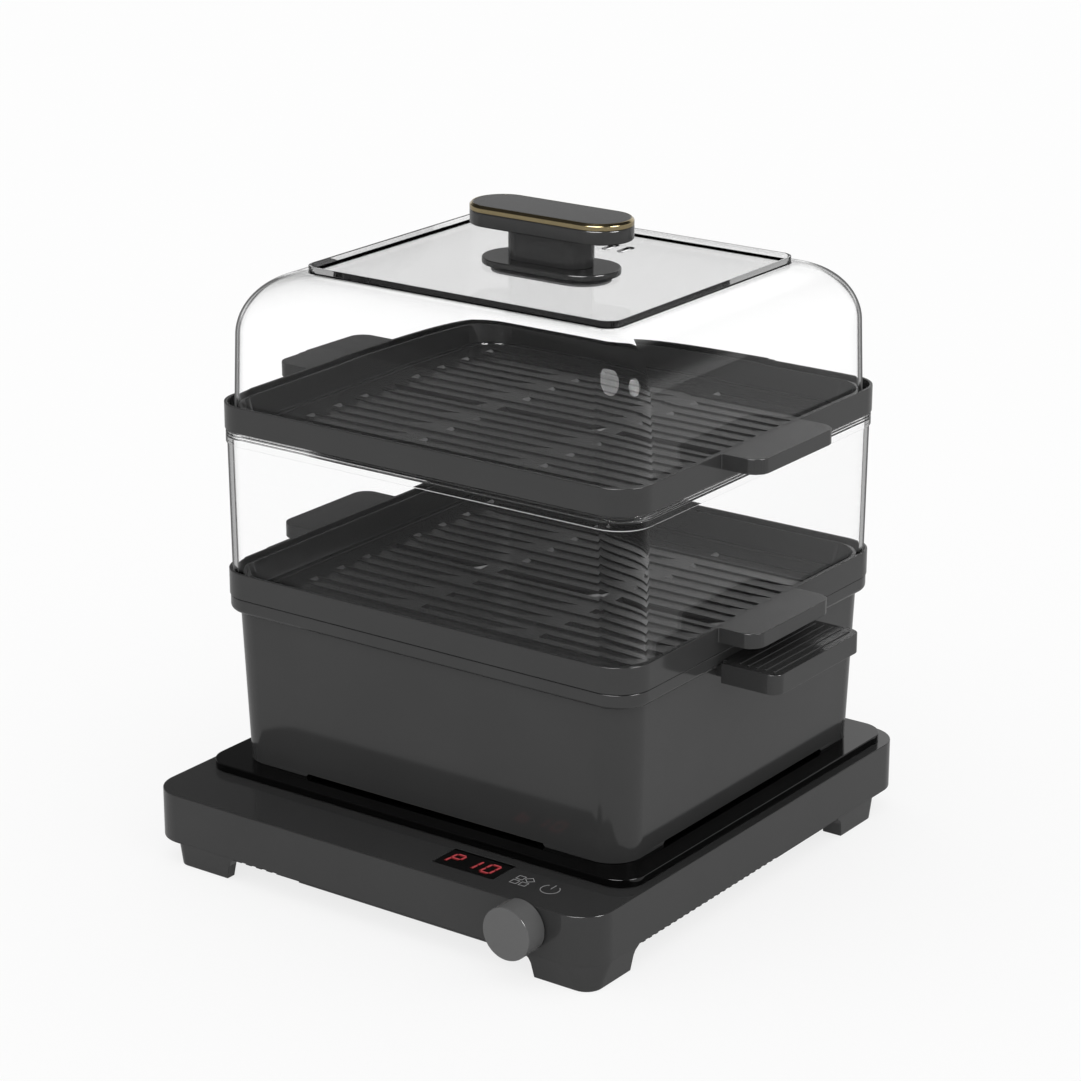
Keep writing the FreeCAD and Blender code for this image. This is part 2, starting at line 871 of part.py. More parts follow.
def inlet_leads():
    # three wires from the inlet's pins forward, then down onto the board
    x, z = inlet_place()
    x0, x1, y0, y1 = main_board_box()
    places = ((-inlet_pin_pitch, -2.0), (0.0, 2.0), (inlet_pin_pitch, -2.0))
    leads = []
    for dx, dz in places:
        end_y = y1 - 3
        run = rod_y(x + dx, z + dz, end_y, half_y - inlet_depth - 3, wire_radius)
        drop = rod(x + dx, end_y, main_board_top(), z + dz, wire_radius)
        knee = Part.makeSphere(wire_radius, V(x + dx, end_y, z + dz))
        leads.append(fuse_all([run, drop, knee]))
    return Part.makeCompound(leads)


def coil_leads():
    x0, x1, y0, y1 = main_board_box()
    y = y0 + 20
    leads = [rod(x0 + 4 + index * 5, y, main_board_top(), coil_former_bottom(), wire_radius) for index in range(2)]
    return Part.makeCompound(leads)


def ribbon_cable():
    # flat cable from the control board back to the main board
    x0, x1, y0, y1 = main_board_box()
    x = x0 + 20
    places = control_post_places()
    back = max(y for px, y in places) + control_post_radius + 1
    low = main_board_top()
    high = control_board_top() - control_board_thick
    half = 6.0
    thick = 0.8
    run = box(x - half, x + half, back - 4, y0 + 4, low, low + thick)
    rise = box(x - half, x + half, back - 4, back - 4 + thick, low, high)
    return fuse_all([run, rise])


# --- pot ---
def pot_outer(z0, z1, inset=0.0):
    # the pot's outside, or a surface inset from it, between two heights
    def section(z):
        lean = pot_draft * (z - glass_top) / (rim_bottom - glass_top)
        return (pot_foot_x + lean - inset, pot_foot_y + lean - inset, pot_foot_corner + lean / 2 - inset, z)
    return round_loft([section(z0), section(z1)], 0, tier_y)


def rim_band():
    # plain band whose lower outer edge is a rounded one
    sections = []
    for step in range(rim_round_steps + 1):
        angle = math.pi / 2 * step / rim_round_steps
        inset = rim_round * (1 - math.sin(angle))
        z = rim_bottom + rim_round * (1 - math.cos(angle))
        sections.append((rim_half_x - inset, rim_half_y - inset, rim_corner - inset, z))
    band = round_prism(rim_half_x, rim_half_y, rim_corner, rim_bottom + rim_round, pot_top - rim_reveal, 0, tier_y)
    return fuse_all([band, round_loft(sections, 0, tier_y)])


def pot_body():
    floor = glass_top + foot_height + pot_floor
    body = pot_outer(glass_top, pot_top)
    body = fuse_all([body, rim_band()])
    body = body.cut(pot_outer(floor, pot_top + 1, pot_wall))
    under = round_prism(pot_foot_x - foot_ring, pot_foot_y - foot_ring, pot_foot_corner - foot_ring + 4,
                        glass_top - 1, glass_top + foot_height, 0, tier_y)
    notches = [box(-foot_notch_x, foot_notch_x, tier_y - 2 * pot_foot_y, tier_y + 2 * pot_foot_y,
                   glass_top - 1, glass_top + foot_height),
               box(-2 * pot_foot_x, 2 * pot_foot_x, tier_y - foot_notch_y, tier_y + foot_notch_y,
                   glass_top - 1, glass_top + foot_height)]
    cuts = [under] + notches
    cuts += [rod_x(y, handle_screw_z(), -2 * rim_half_x, 2 * rim_half_x, screw_radius) for y in handle_screw_rows()]
    return body.cut(cuts)


def induction_disc():
    return round_prism(pot_foot_x - disc_inset, pot_foot_y - disc_inset, pot_foot_corner,
                       glass_top + disc_clearance, glass_top + foot_height, 0, tier_y)


def handle_top():
    return pot_top - handle_top_drop


def handle_screw_z():
    return handle_top() - handle_thick + (rim_bottom - handle_top() + handle_thick) / 2


def handle_screw_rows():
    return (tier_y - handle_screw_spread, tier_y + handle_screw_spread)


def pot_handle_right():
    x1 = rim_half_x + handle_reach
    x0 = pot_foot_x - 1
    z1 = handle_top()
    z0 = z1 - handle_thick
    middle = (x0 + x1) / 2
    block = round_prism((x1 - x0) / 2, handle_half, handle_corner, z0, z1, middle, tier_y)
    block = block.fuse(box(x0, middle, tier_y - handle_half, tier_y + handle_half, z0, z1)).removeSplitter()
    ribs = []
    for index in range(handle_ribs):
        x = x1 - handle_rib_margin - index * handle_rib_pitch
        ribs.append(box(x - handle_rib_width, x, tier_y - handle_half + handle_rib_margin,
                        tier_y + handle_half - handle_rib_margin, z1, z1 + handle_rib_height))
    block = fuse_all([block] + ribs)
    block = block.cut([pot_outer(glass_top, pot_top), rim_band()])
    holes = [rod_x(y, handle_screw_z(), x0 - 1, rim_half_x + screw_length / 2 + 0.5, screw_radius)
             for y in handle_screw_rows()]
    return block.cut(holes)


def pot_handle_screws():
    screws = []
    lean = pot_draft * (handle_screw_z() - glass_top) / (rim_bottom - glass_top)
    inner = pot_foot_x + lean - pot_wall
    for y in handle_screw_rows():
        for side in (-1, 1):
            shank = rod_x(y, handle_screw_z(), inner - 0.2, rim_half_x + screw_length / 2, screw_radius)
            head = rod_x(y, handle_screw_z(), inner - 0.2 - screw_head_height, inner - 0.2, screw_head_radius)
            fastener = fuse_all([shank, head])
            screws.append(fastener if side > 0 else mirror_x(fastener))
    return Part.makeCompound(screws)


# --- trays ---
def ear_outline(z):
    # ear on the +X side: rounded outside, blended into the skirt at its root
    x0 = tray_half_x - lip_wall / 2
    xr = tray_half_x
    x1 = tray_half_x + ear_reach
    r = ear_corner
    q = ear_root
    h = ear_half
    y = tier_y + ear_shift
    d = 1 - math.sqrt(0.5)
    left = [V(x0, y - h - q, z), V(xr, y - h - q, z), V(xr + q, y - h, z), V(x1 - r, y - h, z), V(x1, y - h + r, z)]
    right = [V(p.x, 2 * y - p.y, z) for p in left]
    edges = [Part.LineSegment(left[0], left[1]).toShape(),
             Part.Arc(left[1], V(xr + q * d, y - h - q * d, z), left[2]).toShape(),
             Part.LineSegment(left[2], left[3]).toShape(),
             Part.Arc(left[3], V(x1 - r * d, y - h + r * d, z), left[4]).toShape(),
             Part.LineSegment(left[4], right[4]).toShape(),
             Part.Arc(right[4], V(x1 - r * d, y + h - r * d, z), right[3]).toShape(),
             Part.LineSegment(right[3], right[2]).toShape(),
             Part.Arc(right[2], V(xr + q * d, y + h + q * d, z), right[1]).toShape(),
             Part.LineSegment(right[1], right[0]).toShape(),
             Part.LineSegment(right[0], left[0]).toShape()]
    return Part.Wire(edges)


def valley(x0, x1, y, z):
    # V-shaped channel with sloping ends, open upwards at height z
    half = valley_width / 2
    low = z - valley_depth
    top = [V(x0, y - half, z), V(x1, y - half, z), V(x1, y + half, z), V(x0, y + half, z)]
    keel = [V(x0 + half, y, low), V(x1 - half, y, low)]
    faces = [[top[0], top[1], top[2], top[3]], [top[0], top[1], keel[1], keel[0]],
             [top[3], top[2], keel[1], keel[0]], [top[0], top[3], keel[0]], [top[1], top[2], keel[1]]]
    shells = [Part.Face(Part.makePolygon(points + [points[0]])) for points in faces]
    return Part.makeSolid(Part.makeShell(shells))


def valley_runs():
    # segmented rows carry the steam slots; the rows between them run through
    inner = break_at - break_width / 2
    outer = break_at + break_width / 2
    segments = ((-rib_half_length, -outer), (-inner, inner), (outer, rib_half_length))
    runs = []
    for row in range(-rib_rows, rib_rows + 1):
        y = tier_y + row * rib_pitch
        if row % 2 == 0:
            runs += [(x0, x1, y, True) for x0, x1 in segments]
        else:
            runs.append((-rib_half_length, rib_half_length, y, False))
    return runs


def pan_half():
    # half sizes of the pan's mouth
    inset = lip_wall + groove_width + pan_lip
    return tray_half_x - inset, tray_half_y - inset, groove_inner_corner - pan_lip


def tray(seat):
    top = seat + skirt_height
    skirt = round_prism(tray_half_x, tray_half_y, tray_corner, seat, top, 0, tier_y)
    px, py, pr = pan_half()
    floor = seat - pan_floor_drop
    bottom = floor - pan_floor
    below_x = pot_foot_x + pot_draft - pot_wall - pan_clearance
    below_y = pot_foot_y + pot_draft - pot_wall - pan_clearance
    pan = round_loft([(below_x - 1.0, below_y - 1.0, tray_corner - pan_draft - 1.0, bottom),
                      (below_x, below_y, tray_corner - pan_draft, seat)], 0, tier_y)
    ear = Part.Face(ear_outline(top - ear_thick)).extrude(V(0, 0, ear_thick))
    body = fuse_all([skirt, pan, ear, mirror_x(ear)])
    cavity = round_loft([(px - pan_draft, py - pan_draft, pr - 1.0, floor), (px, py, pr, top + 1)], 0, tier_y)
    outer = round_prism(tray_half_x - lip_wall, tray_half_y - lip_wall, tray_corner - lip_wall,
                        top - groove_depth, top + 1, 0, tier_y)
    inset = lip_wall + groove_width
    inner = round_prism(tray_half_x - inset, tray_half_y - inset, groove_inner_corner,
                        top - groove_depth - 1, top + 2, 0, tier_y)
    cuts = [cavity, outer.cut(inner)]
    half = steam_slot_width / 2
    for x0, x1, y, slotted in valley_runs():
        cuts.append(valley(x0, x1, y, floor))
        if slotted:
            cuts.append(box(x0 + valley_width, x1 - valley_width, y - half, y + half, bottom - 1, floor + 1))
    return body.cut(cuts)


# --- clear ring ---
def clear_ring():
    base = (clear_half_x, clear_half_y, clear_corner)
    grow = ring_gain
    outer = round_loft([base + (ring_bottom,), tuple(v + grow for v in base) + (ring_top,)], 0, tier_y)
    flange = round_prism(tray_half_x, tray_half_y, tray_corner, ring_top - flange_height,
                         ring_top - flange_reveal, 0, tier_y)
    within = tuple(v - clear_wall for v in base)
    inner = round_loft([within + (ring_bottom - 0.001,), tuple(v + grow for v in within) + (ring_top + 0.001,)],
                       0, tier_y)
    return fuse_all([outer, flange]).cut(inner)


# --- lid ---
def lid_sections(inset, top):
    # outline at each height, shrinking with the draft and then the shoulder
    lean = lid_draft * lid_wall_height
    start = (clear_half_x - inset, clear_half_y - inset, clear_corner + 6.0 - inset)
    wall_top = tuple(v - lean for v in start[:2]) + (start[2] - lean,)
    sections = [start + (lid_bottom,), wall_top + (shoulder_base,)]
    rise = top - shoulder_base
    for step in range(1, shoulder_steps + 1):
        angle = math.pi / 2 * step / shoulder_steps
        half_x_now = crown_half_x + (wall_top[0] - crown_half_x) * math.cos(angle)
        half_y_now = crown_half_y + (wall_top[1] - crown_half_y) * math.cos(angle)
        corner = lid_top_corner + (wall_top[2] - lid_top_corner) * math.cos(angle)
        sections.append((half_x_now, half_y_now, corner, shoulder_base + rise * math.sin(angle)))
    return sections


def lid_shell(inset, top):
    sections = lid_sections(inset, top)
    wall = round_loft(sections[:2], 0, tier_y)
    shoulder = round_loft(sections[1:], 0, tier_y)
    return fuse_all([wall, shoulder])


def lid_dome():
    outer = lid_shell(0.0, lid_top)
    inner = lid_shell(clear_wall, panel_bottom)
    top = lid_sections(0.0, lid_top)[-1]
    width = lid_rim_width
    recess = round_prism(top[0] - width, top[1] - width, lid_top_corner, panel_top, lid_top + 1, 0, tier_y)
    cuts = [inner, recess]
    for index in (-1, 0, 1):
        slot = stadium(vent_length / 2, vent_width / 2, panel_bottom - 1, panel_top + 1)
        slot.rotate(V(0, 0, 0), UP, 90)
        cuts.append(move(slot, index * vent_pitch, tier_y + vent_from_middle))
    cuts += [rod(x, tier_y, panel_bottom - 1, panel_top + 1, lid_screw_radius + 0.3) for x in lid_screw_places()]
    return outer.cut(cuts)


def lid_screw_places():
    return (-lid_screw_spread, lid_screw_spread)


def lid_handle_base():
    plate = stadium(plate_half, plate_radius, panel_top, plate_top, 0, tier_y)
    return plate.cut([rod(x, tier_y, panel_top - 1, plate_top + 1, lid_screw_radius) for x in lid_screw_places()])


def lid_handle_stem():
    stem = stadium(stem_half, stem_radius, plate_top, grip_bottom, 0, tier_y)
    depth = stem_height - 4
    return stem.cut([rod(x, tier_y, plate_top - 1, plate_top + depth, lid_screw_radius) for x in lid_screw_places()])


def lid_handle_grip():
    grip = stadium(grip_half, grip_radius, grip_bottom, band_bottom, 0, tier_y)
    core = stadium(grip_half - trim_inset, grip_radius - trim_inset, band_bottom, grip_top - cap_thick, 0, tier_y)
    return fuse_all([grip, core])


def lid_handle_trim():
    band = stadium(grip_half, grip_radius, band_bottom, band_top, 0, tier_y)
    slope = stadium_loft(band_top, grip_top, trim_bevel)
    ring = fuse_all([band, slope])
    return ring.cut(stadium(grip_half - trim_inset, grip_radius - trim_inset, band_bottom - 1, grip_top + 1, 0, tier_y))


def stadium_loft(z0, z1, inset):
    wires = []
    for z, less in ((z0, 0.0), (z1, inset)):
        solid = stadium(grip_half - less, grip_radius - less, z, z + 1, 0, tier_y)
        faces = [face for face in solid.Faces if abs(face.CenterOfMass.z - z) < 0.01]
        wires.append(faces[0].OuterWire)
    return Part.makeLoft(wires, True, True)


def lid_handle_cap():
    return stadium(grip_half - trim_inset, grip_radius - trim_inset, grip_top - cap_thick, grip_top, 0, tier_y)


def seal_bottom():
    return panel_bottom - seal_thick


def lid_seal():
    seal = stadium(plate_half - seal_margin, plate_radius - seal_margin, seal_bottom(), panel_bottom, 0, tier_y)
    return seal.cut([rod(x, tier_y, seal_bottom() - 1, panel_bottom + 1, lid_screw_radius) for x in lid_screw_places()])


def lid_handle_screws():
    screws = []
    for x in lid_screw_places():
        head = rod(x, tier_y, seal_bottom() - lid_screw_head_height, seal_bottom(), lid_screw_head)
        shank = rod(x, tier_y, seal_bottom(), plate_top + stem_height / 2, lid_screw_radius)
        screws.append(fuse_all([head, shank]))
    return Part.makeCompound(screws)


PARTS = {
    "upper_housing": upper_housing,
    "bottom_cover": bottom_cover,
    "foot_pads": foot_pads,
    "housing_screws": housing_screws,
    "glass_plate": glass_plate,
    "glass_gasket": glass_gasket,
    "display_window": display_window,
    "display_module": display_module,
    "control_board": control_board,
    "touch_springs": touch_springs,
    "encoder_body": encoder_body,
    "encoder_nut": encoder_nut,
    "encoder_shaft": encoder_shaft,
    "knob": knob,
    "insulation_sheet": insulation_sheet,
    "induction_coil": induction_coil,
    "ferrite_bars": ferrite_bars,
    "coil_former": coil_former,
    "temperature_sensor": temperature_sensor,
    "sensor_boot": sensor_boot,
    "main_board": main_board,
    "heatsink": heatsink,
    "board_components": board_components,
    "board_screws": board_screws,
    "fan_frame": fan_frame,
    "fan_impeller": fan_impeller,
    "fan_screws": fan_screws,
    "power_inlet": power_inlet,
    "inlet_pins": inlet_pins,
    "inlet_leads": inlet_leads,
    "coil_leads": coil_leads,
    "ribbon_cable": ribbon_cable,
    "pot_body": pot_body,
    "induction_disc": induction_disc,
    "pot_handle_right": pot_handle_right,
    "pot_handle_left": lambda: mirror_x(pot_handle_right()),
    "pot_handle_screws": pot_handle_screws,
    "lower_tray": lambda: tray(pot_top),
    "upper_tray": lambda: tray(ring_top),
    "clear_ring": clear_ring,
    "lid_dome": lid_dome,
    "lid_handle_base": lid_handle_base,
    "lid_handle_stem": lid_handle_stem,
    "lid_handle_grip": lid_handle_grip,
    "lid_handle_trim": lid_handle_trim,
    "lid_handle_cap": lid_handle_cap,
    "lid_seal": lid_seal,
    "lid_handle_screws": lid_handle_screws,
}

os.makedirs("parts", exist_ok=True)
for name, build in PARTS.items():
    save(name, build())
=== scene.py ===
import json

import bmesh
import bpy
from math import cos, pi, radians, sin, tan
from mathutils import Matrix, Vector


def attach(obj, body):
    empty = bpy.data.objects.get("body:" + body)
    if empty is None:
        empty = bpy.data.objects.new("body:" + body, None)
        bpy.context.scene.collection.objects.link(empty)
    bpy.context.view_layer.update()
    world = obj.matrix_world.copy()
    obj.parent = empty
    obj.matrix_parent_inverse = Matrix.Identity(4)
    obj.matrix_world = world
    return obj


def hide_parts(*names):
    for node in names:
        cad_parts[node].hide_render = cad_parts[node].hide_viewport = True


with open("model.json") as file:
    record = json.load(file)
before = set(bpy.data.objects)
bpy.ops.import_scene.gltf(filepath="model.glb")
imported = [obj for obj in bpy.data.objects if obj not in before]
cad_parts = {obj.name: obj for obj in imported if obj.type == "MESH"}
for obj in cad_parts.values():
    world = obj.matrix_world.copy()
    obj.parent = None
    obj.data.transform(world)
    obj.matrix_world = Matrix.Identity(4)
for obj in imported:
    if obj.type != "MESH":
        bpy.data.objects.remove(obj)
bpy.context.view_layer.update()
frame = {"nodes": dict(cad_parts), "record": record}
print("model loaded")

# Pieces are drawn in millimetres in the model's own axes and turned to metres once, in finishPiece.
mm = 0.001
alongX, alongY, alongZ = Vector((1, 0, 0)), Vector((0, 1, 0)), Vector((0, 0, 1))
tierY = 26.2
baseY = 7.9
potTop = 153.8
ringTop = 255.9
hair = 0.01  # a fully round end keeps this much straight edge
margin = 0.1  # tells the faces and vertices of a wall from their neighbours


def hexColour(code):
    parts = [int(code[i:i + 2], 16) / 255 for i in (1, 3, 5)]
    return tuple(c / 12.92 if c <= 0.04045 else ((c + 0.055) / 1.055) ** 2.4 for c in parts) + (1.0,)


def shaded(colour, share):
    return [part * share for part in hexColour(colour)[:3]] + [1.0]


def addNode(tree, kind, settings=None, links=None, **props):
    # settings go to sockets by name or number, links bring other nodes' outputs to sockets
    node = tree.nodes.new("ShaderNode" + kind)
    for name, value in props.items():
        setattr(node, name, value)
    for name, value in (settings or {}).items():
        node.inputs[name].default_value = value
    for name, source in (links or {}).items():
        tree.links.new(source, node.inputs[name])
    return node


def ramp(tree, source, low, high, start=0.0, end=1.0):
    # goes smoothly from start to end while the source goes from low to high
    node = addNode(tree, "MapRange", {"From Min": low, "From Max": high, "To Min": start, "To Max": end},
                   {"Value": source}, interpolation_type="SMOOTHSTEP")
    return node.outputs["Result"]


def combine(tree, operation, first, second):
    return addNode(tree, "Math", None, {0: first, 1: second}, operation=operation).outputs[0]


def startMaterial(name):
    material = bpy.data.materials.new(name)
    material.use_nodes = True
    tree = material.node_tree
    tree.nodes.clear()
    return material, tree, addNode(tree, "OutputMaterial")


def roundCorners(bm, geom, radius, steps, affect="VERTICES"):
    bmesh.ops.bevel(bm, geom=geom, offset=radius, offset_type="OFFSET", segments=steps, profile=0.5,
                    affect=affect, material=-1)


def outline(bm, halfX, halfY, corner, z, steps=10, x=0.0, y=tierY):
    # the edges of a rounded rectangle lying at height z
    known = set(bm.faces)
    made = bmesh.ops.create_grid(bm, x_segments=1, y_segments=1, size=1.0)["verts"]
    bmesh.ops.scale(bm, vec=(halfX, halfY, 1), verts=made)
    bmesh.ops.translate(bm, vec=(x, y, z), verts=made)
    roundCorners(bm, made, corner, steps)
    face = [f for f in bm.faces if f not in known][0]
    edges = list(face.edges)
    bmesh.ops.delete(bm, geom=[face], context="FACES_ONLY")
    return edges


def stack(bm, sections, closeStart=True, closeEnd=True, loop=False, **place):
    # outlines joined one to the next; a section is (half x, half y, corner, z)
    rings = [outline(bm, *section, **place) for section in sections]
    for first, second in zip(rings, rings[1:] + ([rings[0]] if loop else [])):
        bmesh.ops.bridge_loops(bm, edges=first + second)
    if closeStart and not loop:
        bmesh.ops.contextual_create(bm, geom=rings[0])
    if closeEnd and not loop:
        bmesh.ops.contextual_create(bm, geom=rings[-1])
    return rings


def block(bm, low, high):
    made = bmesh.ops.create_cube(bm, size=1.0)["verts"]
    bmesh.ops.scale(bm, vec=[b - a for a, b in zip(low, high)], verts=made)
    bmesh.ops.translate(bm, vec=[(a + b) / 2 for a, b in zip(low, high)], verts=made)
    return made


def pull(bm, faces, rise):
    # faces extruded straight up; gives the new end faces
    made = bmesh.ops.extrude_face_region(bm, geom=faces)["geom"]
    bmesh.ops.translate(bm, vec=(0, 0, rise), verts=[v for v in made if isinstance(v, bmesh.types.BMVert)])
    return [f for f in made if isinstance(f, bmesh.types.BMFace)]


def cutPlane(bm, faces, place, direction):
    # one flat cut through these faces
    geom = list(faces) + list({e for f in faces for e in f.edges}) + list({v for f in faces for v in f.verts})
    bmesh.ops.bisect_plane(bm, geom=geom, dist=1e-4, plane_co=place, plane_no=direction)


def cutLine(bm, faces, direction, place):
    cutPlane(bm, faces, direction * place, direction)


def centreOf(face):
    return face.calc_center_median()


def openHoles(bm, pick, along, across, spans):
    # rectangular openings through both skins of a wall, each lined afterwards
    for a0, a1, b0, b1 in spans:
        for place in (a0, a1):
            near = [f for f in bm.faces if pick(f) and min(v.co.dot(across) for v in f.verts) < b1
                    and max(v.co.dot(across) for v in f.verts) > b0]
            cutLine(bm, near, along, place)
        for place in (b0, b1):
            near = [f for f in bm.faces if pick(f) and a0 < centreOf(f).dot(along) < a1]
            cutLine(bm, near, across, place)
        gone = {f for f in bm.faces if pick(f) and a0 < centreOf(f).dot(along) < a1
                and b0 < centreOf(f).dot(across) < b1}
        rim = list({e for f in gone for e in f.edges if any(other not in gone for other in e.link_faces)})
        bmesh.ops.delete(bm, geom=list(gone), context="FACES")
        bmesh.ops.bridge_loops(bm, edges=rim)


def addMesh(bm, name):
    mesh = bpy.data.meshes.new(name)
    bm.to_mesh(mesh)
    bm.free()
    return mesh


def addObject(name, data):
    made = bpy.data.objects.new(name, data)
    bpy.context.scene.collection.objects.link(made)
    return made


def finishPiece(bm, name, material, body, replaced=(), soft=0.0, softSteps=3, crease=35, angle=30):
    bmesh.ops.remove_doubles(bm, verts=bm.verts, dist=1e-3)
    bmesh.ops.recalc_face_normals(bm, faces=bm.faces)
    bmesh.ops.scale(bm, vec=(mm, mm, mm), verts=bm.verts)
    mesh = addMesh(bm, name)
    piece = addObject(name, mesh)
    mesh.materials.append(material)
    mesh.shade_smooth()
    mesh.set_sharp_from_angle(angle=radians(crease))
    if soft:
        edge = piece.modifiers.new("softEdges", "BEVEL")
        edge.width = soft * mm
        edge.segments = softSteps
        edge.limit_method = "ANGLE"
        edge.angle_limit = radians(angle)
        edge.use_clamp_overlap = False
    # large flat faces keep their own direction, so gloss and clear plastic stay true
    even = piece.modifiers.new("evenShading", "WEIGHTED_NORMAL")
    even.weight = 80
    even.keep_sharp = True
    if replaced:
        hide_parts(*replaced)
    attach(piece, body)
    return piece


def glossyMoulding(name, colour, roughness, grainMm=0.9, grainDepth=0.004, patchy=0.02, cloudScale=18.0):
    # Plastic, coating or glass from a polished tool: a sharp shine over a very faint unevenness.
    material, tree, output = startMaterial(name)
    place = addNode(tree, "TexCoord")
    grain = addNode(tree, "TexNoise", {"Scale": 1 / (grainMm * mm), "Detail": 2.0},
                    {"Vector": place.outputs["Object"]})
    cloud = addNode(tree, "TexNoise", {"Scale": cloudScale, "Detail": 2.0},
                    {"Vector": place.outputs["Object"]})
    sheen = addNode(tree, "MapRange",
                    {"To Min": max(0.0, roughness - patchy), "To Max": roughness + patchy},
                    {"Value": cloud.outputs["Fac"]})
    tone = addNode(tree, "Mix", {6: shaded(colour, 0.9), 7: shaded(colour, 1.1)}, {0: cloud.outputs["Fac"]},
                   data_type="RGBA")
    bump = addNode(tree, "Bump", {"Strength": 0.3, "Distance": grainDepth * mm},
                   {"Height": grain.outputs["Fac"]})
    shader = addNode(tree, "BsdfPrincipled", {"IOR": 1.5},
                     {"Base Color": tone.outputs[2], "Roughness": sheen.outputs["Result"],
                      "Normal": bump.outputs["Normal"]})
    tree.links.new(shader.outputs[0], output.inputs["Surface"])
    return material


def drawnMetal(name, colour, roughness, streakMm=0.4, stretch=(1.0, 12.0, 12.0)):
    # Drawn or machined metal: fine lines one way, a little brighter and darker along them.
    material, tree, output = startMaterial(name)
    place = addNode(tree, "TexCoord")
    longer = addNode(tree, "Mapping", {"Scale": stretch}, {"Vector": place.outputs["Object"]})
    lines = addNode(tree, "TexNoise", {"Scale": 0.1 / (streakMm * mm), "Detail": 4.0},
                    {"Vector": longer.outputs["Vector"]})
    sheen = addNode(tree, "MapRange", {"To Min": roughness * 0.75, "To Max": roughness * 1.3},
                    {"Value": lines.outputs["Fac"]})
    tone = addNode(tree, "Mix", {6: shaded(colour, 0.82), 7: shaded(colour, 1.0)}, {0: lines.outputs["Fac"]},
                   data_type="RGBA")
    bump = addNode(tree, "Bump", {"Strength": 0.2, "Distance": 0.01 * mm}, {"Height": lines.outputs["Fac"]})
    shader = addNode(tree, "BsdfPrincipled", {"Metallic": 1.0},
                     {"Base Color": tone.outputs[2], "Roughness": sheen.outputs["Result"],
                      "Normal": bump.outputs["Normal"]})
    tree.links.new(shader.outputs[0], output.inputs["Surface"])
    return material


# outline is the flat grey of the painted edge shade mixed in along grazing corners of the clear plastic
clearLook = {"tint": "#fdfdfd", "outline": "#6c6c6c", "ior": 1.4, "density": 20.0, "rippleScale": 14.0,
             "grazingLow": 0.62, "grazingHigh": 0.76, "cornerLow": 0.1, "cornerHigh": 0.24, "mirror": 0.25,
             "passing": 0.94}


def clearMoulding(name, c):
    # Clear polycarbonate: colourless, with a painted grey edge shade along its grazing corners; lamps and
    # soft light pass straight through.
    material, tree, output = startMaterial(name)
    place = addNode(tree, "TexCoord")
    ripple = addNode(tree, "TexNoise", {"Scale": c["rippleScale"], "Detail": 1.0},
                     {"Vector": place.outputs["Object"]})
    bump = addNode(tree, "Bump", {"Strength": 0.15, "Distance": 0.02 * mm}, {"Height": ripple.outputs["Fac"]})
    # painted edge shade: seen along their surface the rounded corners are mixed with a flat grey standing in
    # for the dark edges that refraction gives; walls and flat tops stay clear
    facing = addNode(tree, "LayerWeight", {"Blend": 0.5})
    normal = addNode(tree, "SeparateXYZ", None, {"Vector": place.outputs["Normal"]})
    sideways = [addNode(tree, "Math", None, {0: normal.outputs[axis]}, operation="ABSOLUTE").outputs[0]
                for axis in "XY"]
    corner = addNode(tree, "MapRange", {"From Min": c["cornerLow"], "From Max": c["cornerHigh"]},
                     {"Value": combine(tree, "MINIMUM", *sideways)})
    grazing = ramp(tree, facing.outputs["Facing"], c["grazingLow"], c["grazingHigh"])
    along = combine(tree, "MULTIPLY", grazing, corner.outputs["Result"])
    solid = addNode(tree, "BsdfPrincipled",
                    {"Base Color": hexColour(c["tint"]), "Roughness": 0.0, "IOR": c["ior"],
                     "Transmission Weight": 1.0, "Specular Tint": (c["mirror"],) * 3 + (1.0,)},
                    {"Normal": bump.outputs["Normal"]})
    inside = addNode(tree, "VolumeAbsorption", {"Color": (0.0, 0.0, 0.0, 1.0), "Density": c["density"]})
    tree.links.new(inside.outputs[0], output.inputs["Volume"])
    through = addNode(tree, "BsdfTransparent", {"Color": (c["passing"],) * 3 + (1.0,)})
    path = addNode(tree, "LightPath")
    either = combine(tree, "MAXIMUM", path.outputs["Is Shadow Ray"], path.outputs["Is Diffuse Ray"])
    # painted edge shade: a flat grey diffuse standing in for the dark edges that refraction gives
    paintedEdgeShade = addNode(tree, "BsdfDiffuse", {"Color": hexColour(c["outline"])})
    withEdgeShade = addNode(tree, "MixShader", None, {0: along, 1: solid.outputs[0], 2: paintedEdgeShade.outputs[0]})
    pick = addNode(tree, "MixShader", None, {0: either, 1: withEdgeShade.outputs[0], 2: through.outputs[0]})
    tree.links.new(pick.outputs[0], output.inputs["Surface"])
    return material


def litSegments(name, colour, strength=1.0, grainScale=900.0):
    # Light-emitting segments behind a dark window: saturated red, a little uneven.
    material, tree, output = startMaterial(name)
    place = addNode(tree, "TexCoord")
    grain = addNode(tree, "TexNoise", {"Scale": grainScale}, {"Vector": place.outputs["Object"]})
    power = addNode(tree, "MapRange", {"To Min": strength * 0.85, "To Max": strength * 1.15},
                    {"Value": grain.outputs["Fac"]})
    shader = addNode(tree, "BsdfPrincipled",
                     {"Base Color": hexColour("#3a0404"), "Roughness": 0.4,
                      "Emission Color": hexColour(colour)},
                     {"Emission Strength": power.outputs["Result"]})
    tree.links.new(shader.outputs[0], output.inputs["Surface"])
    return material


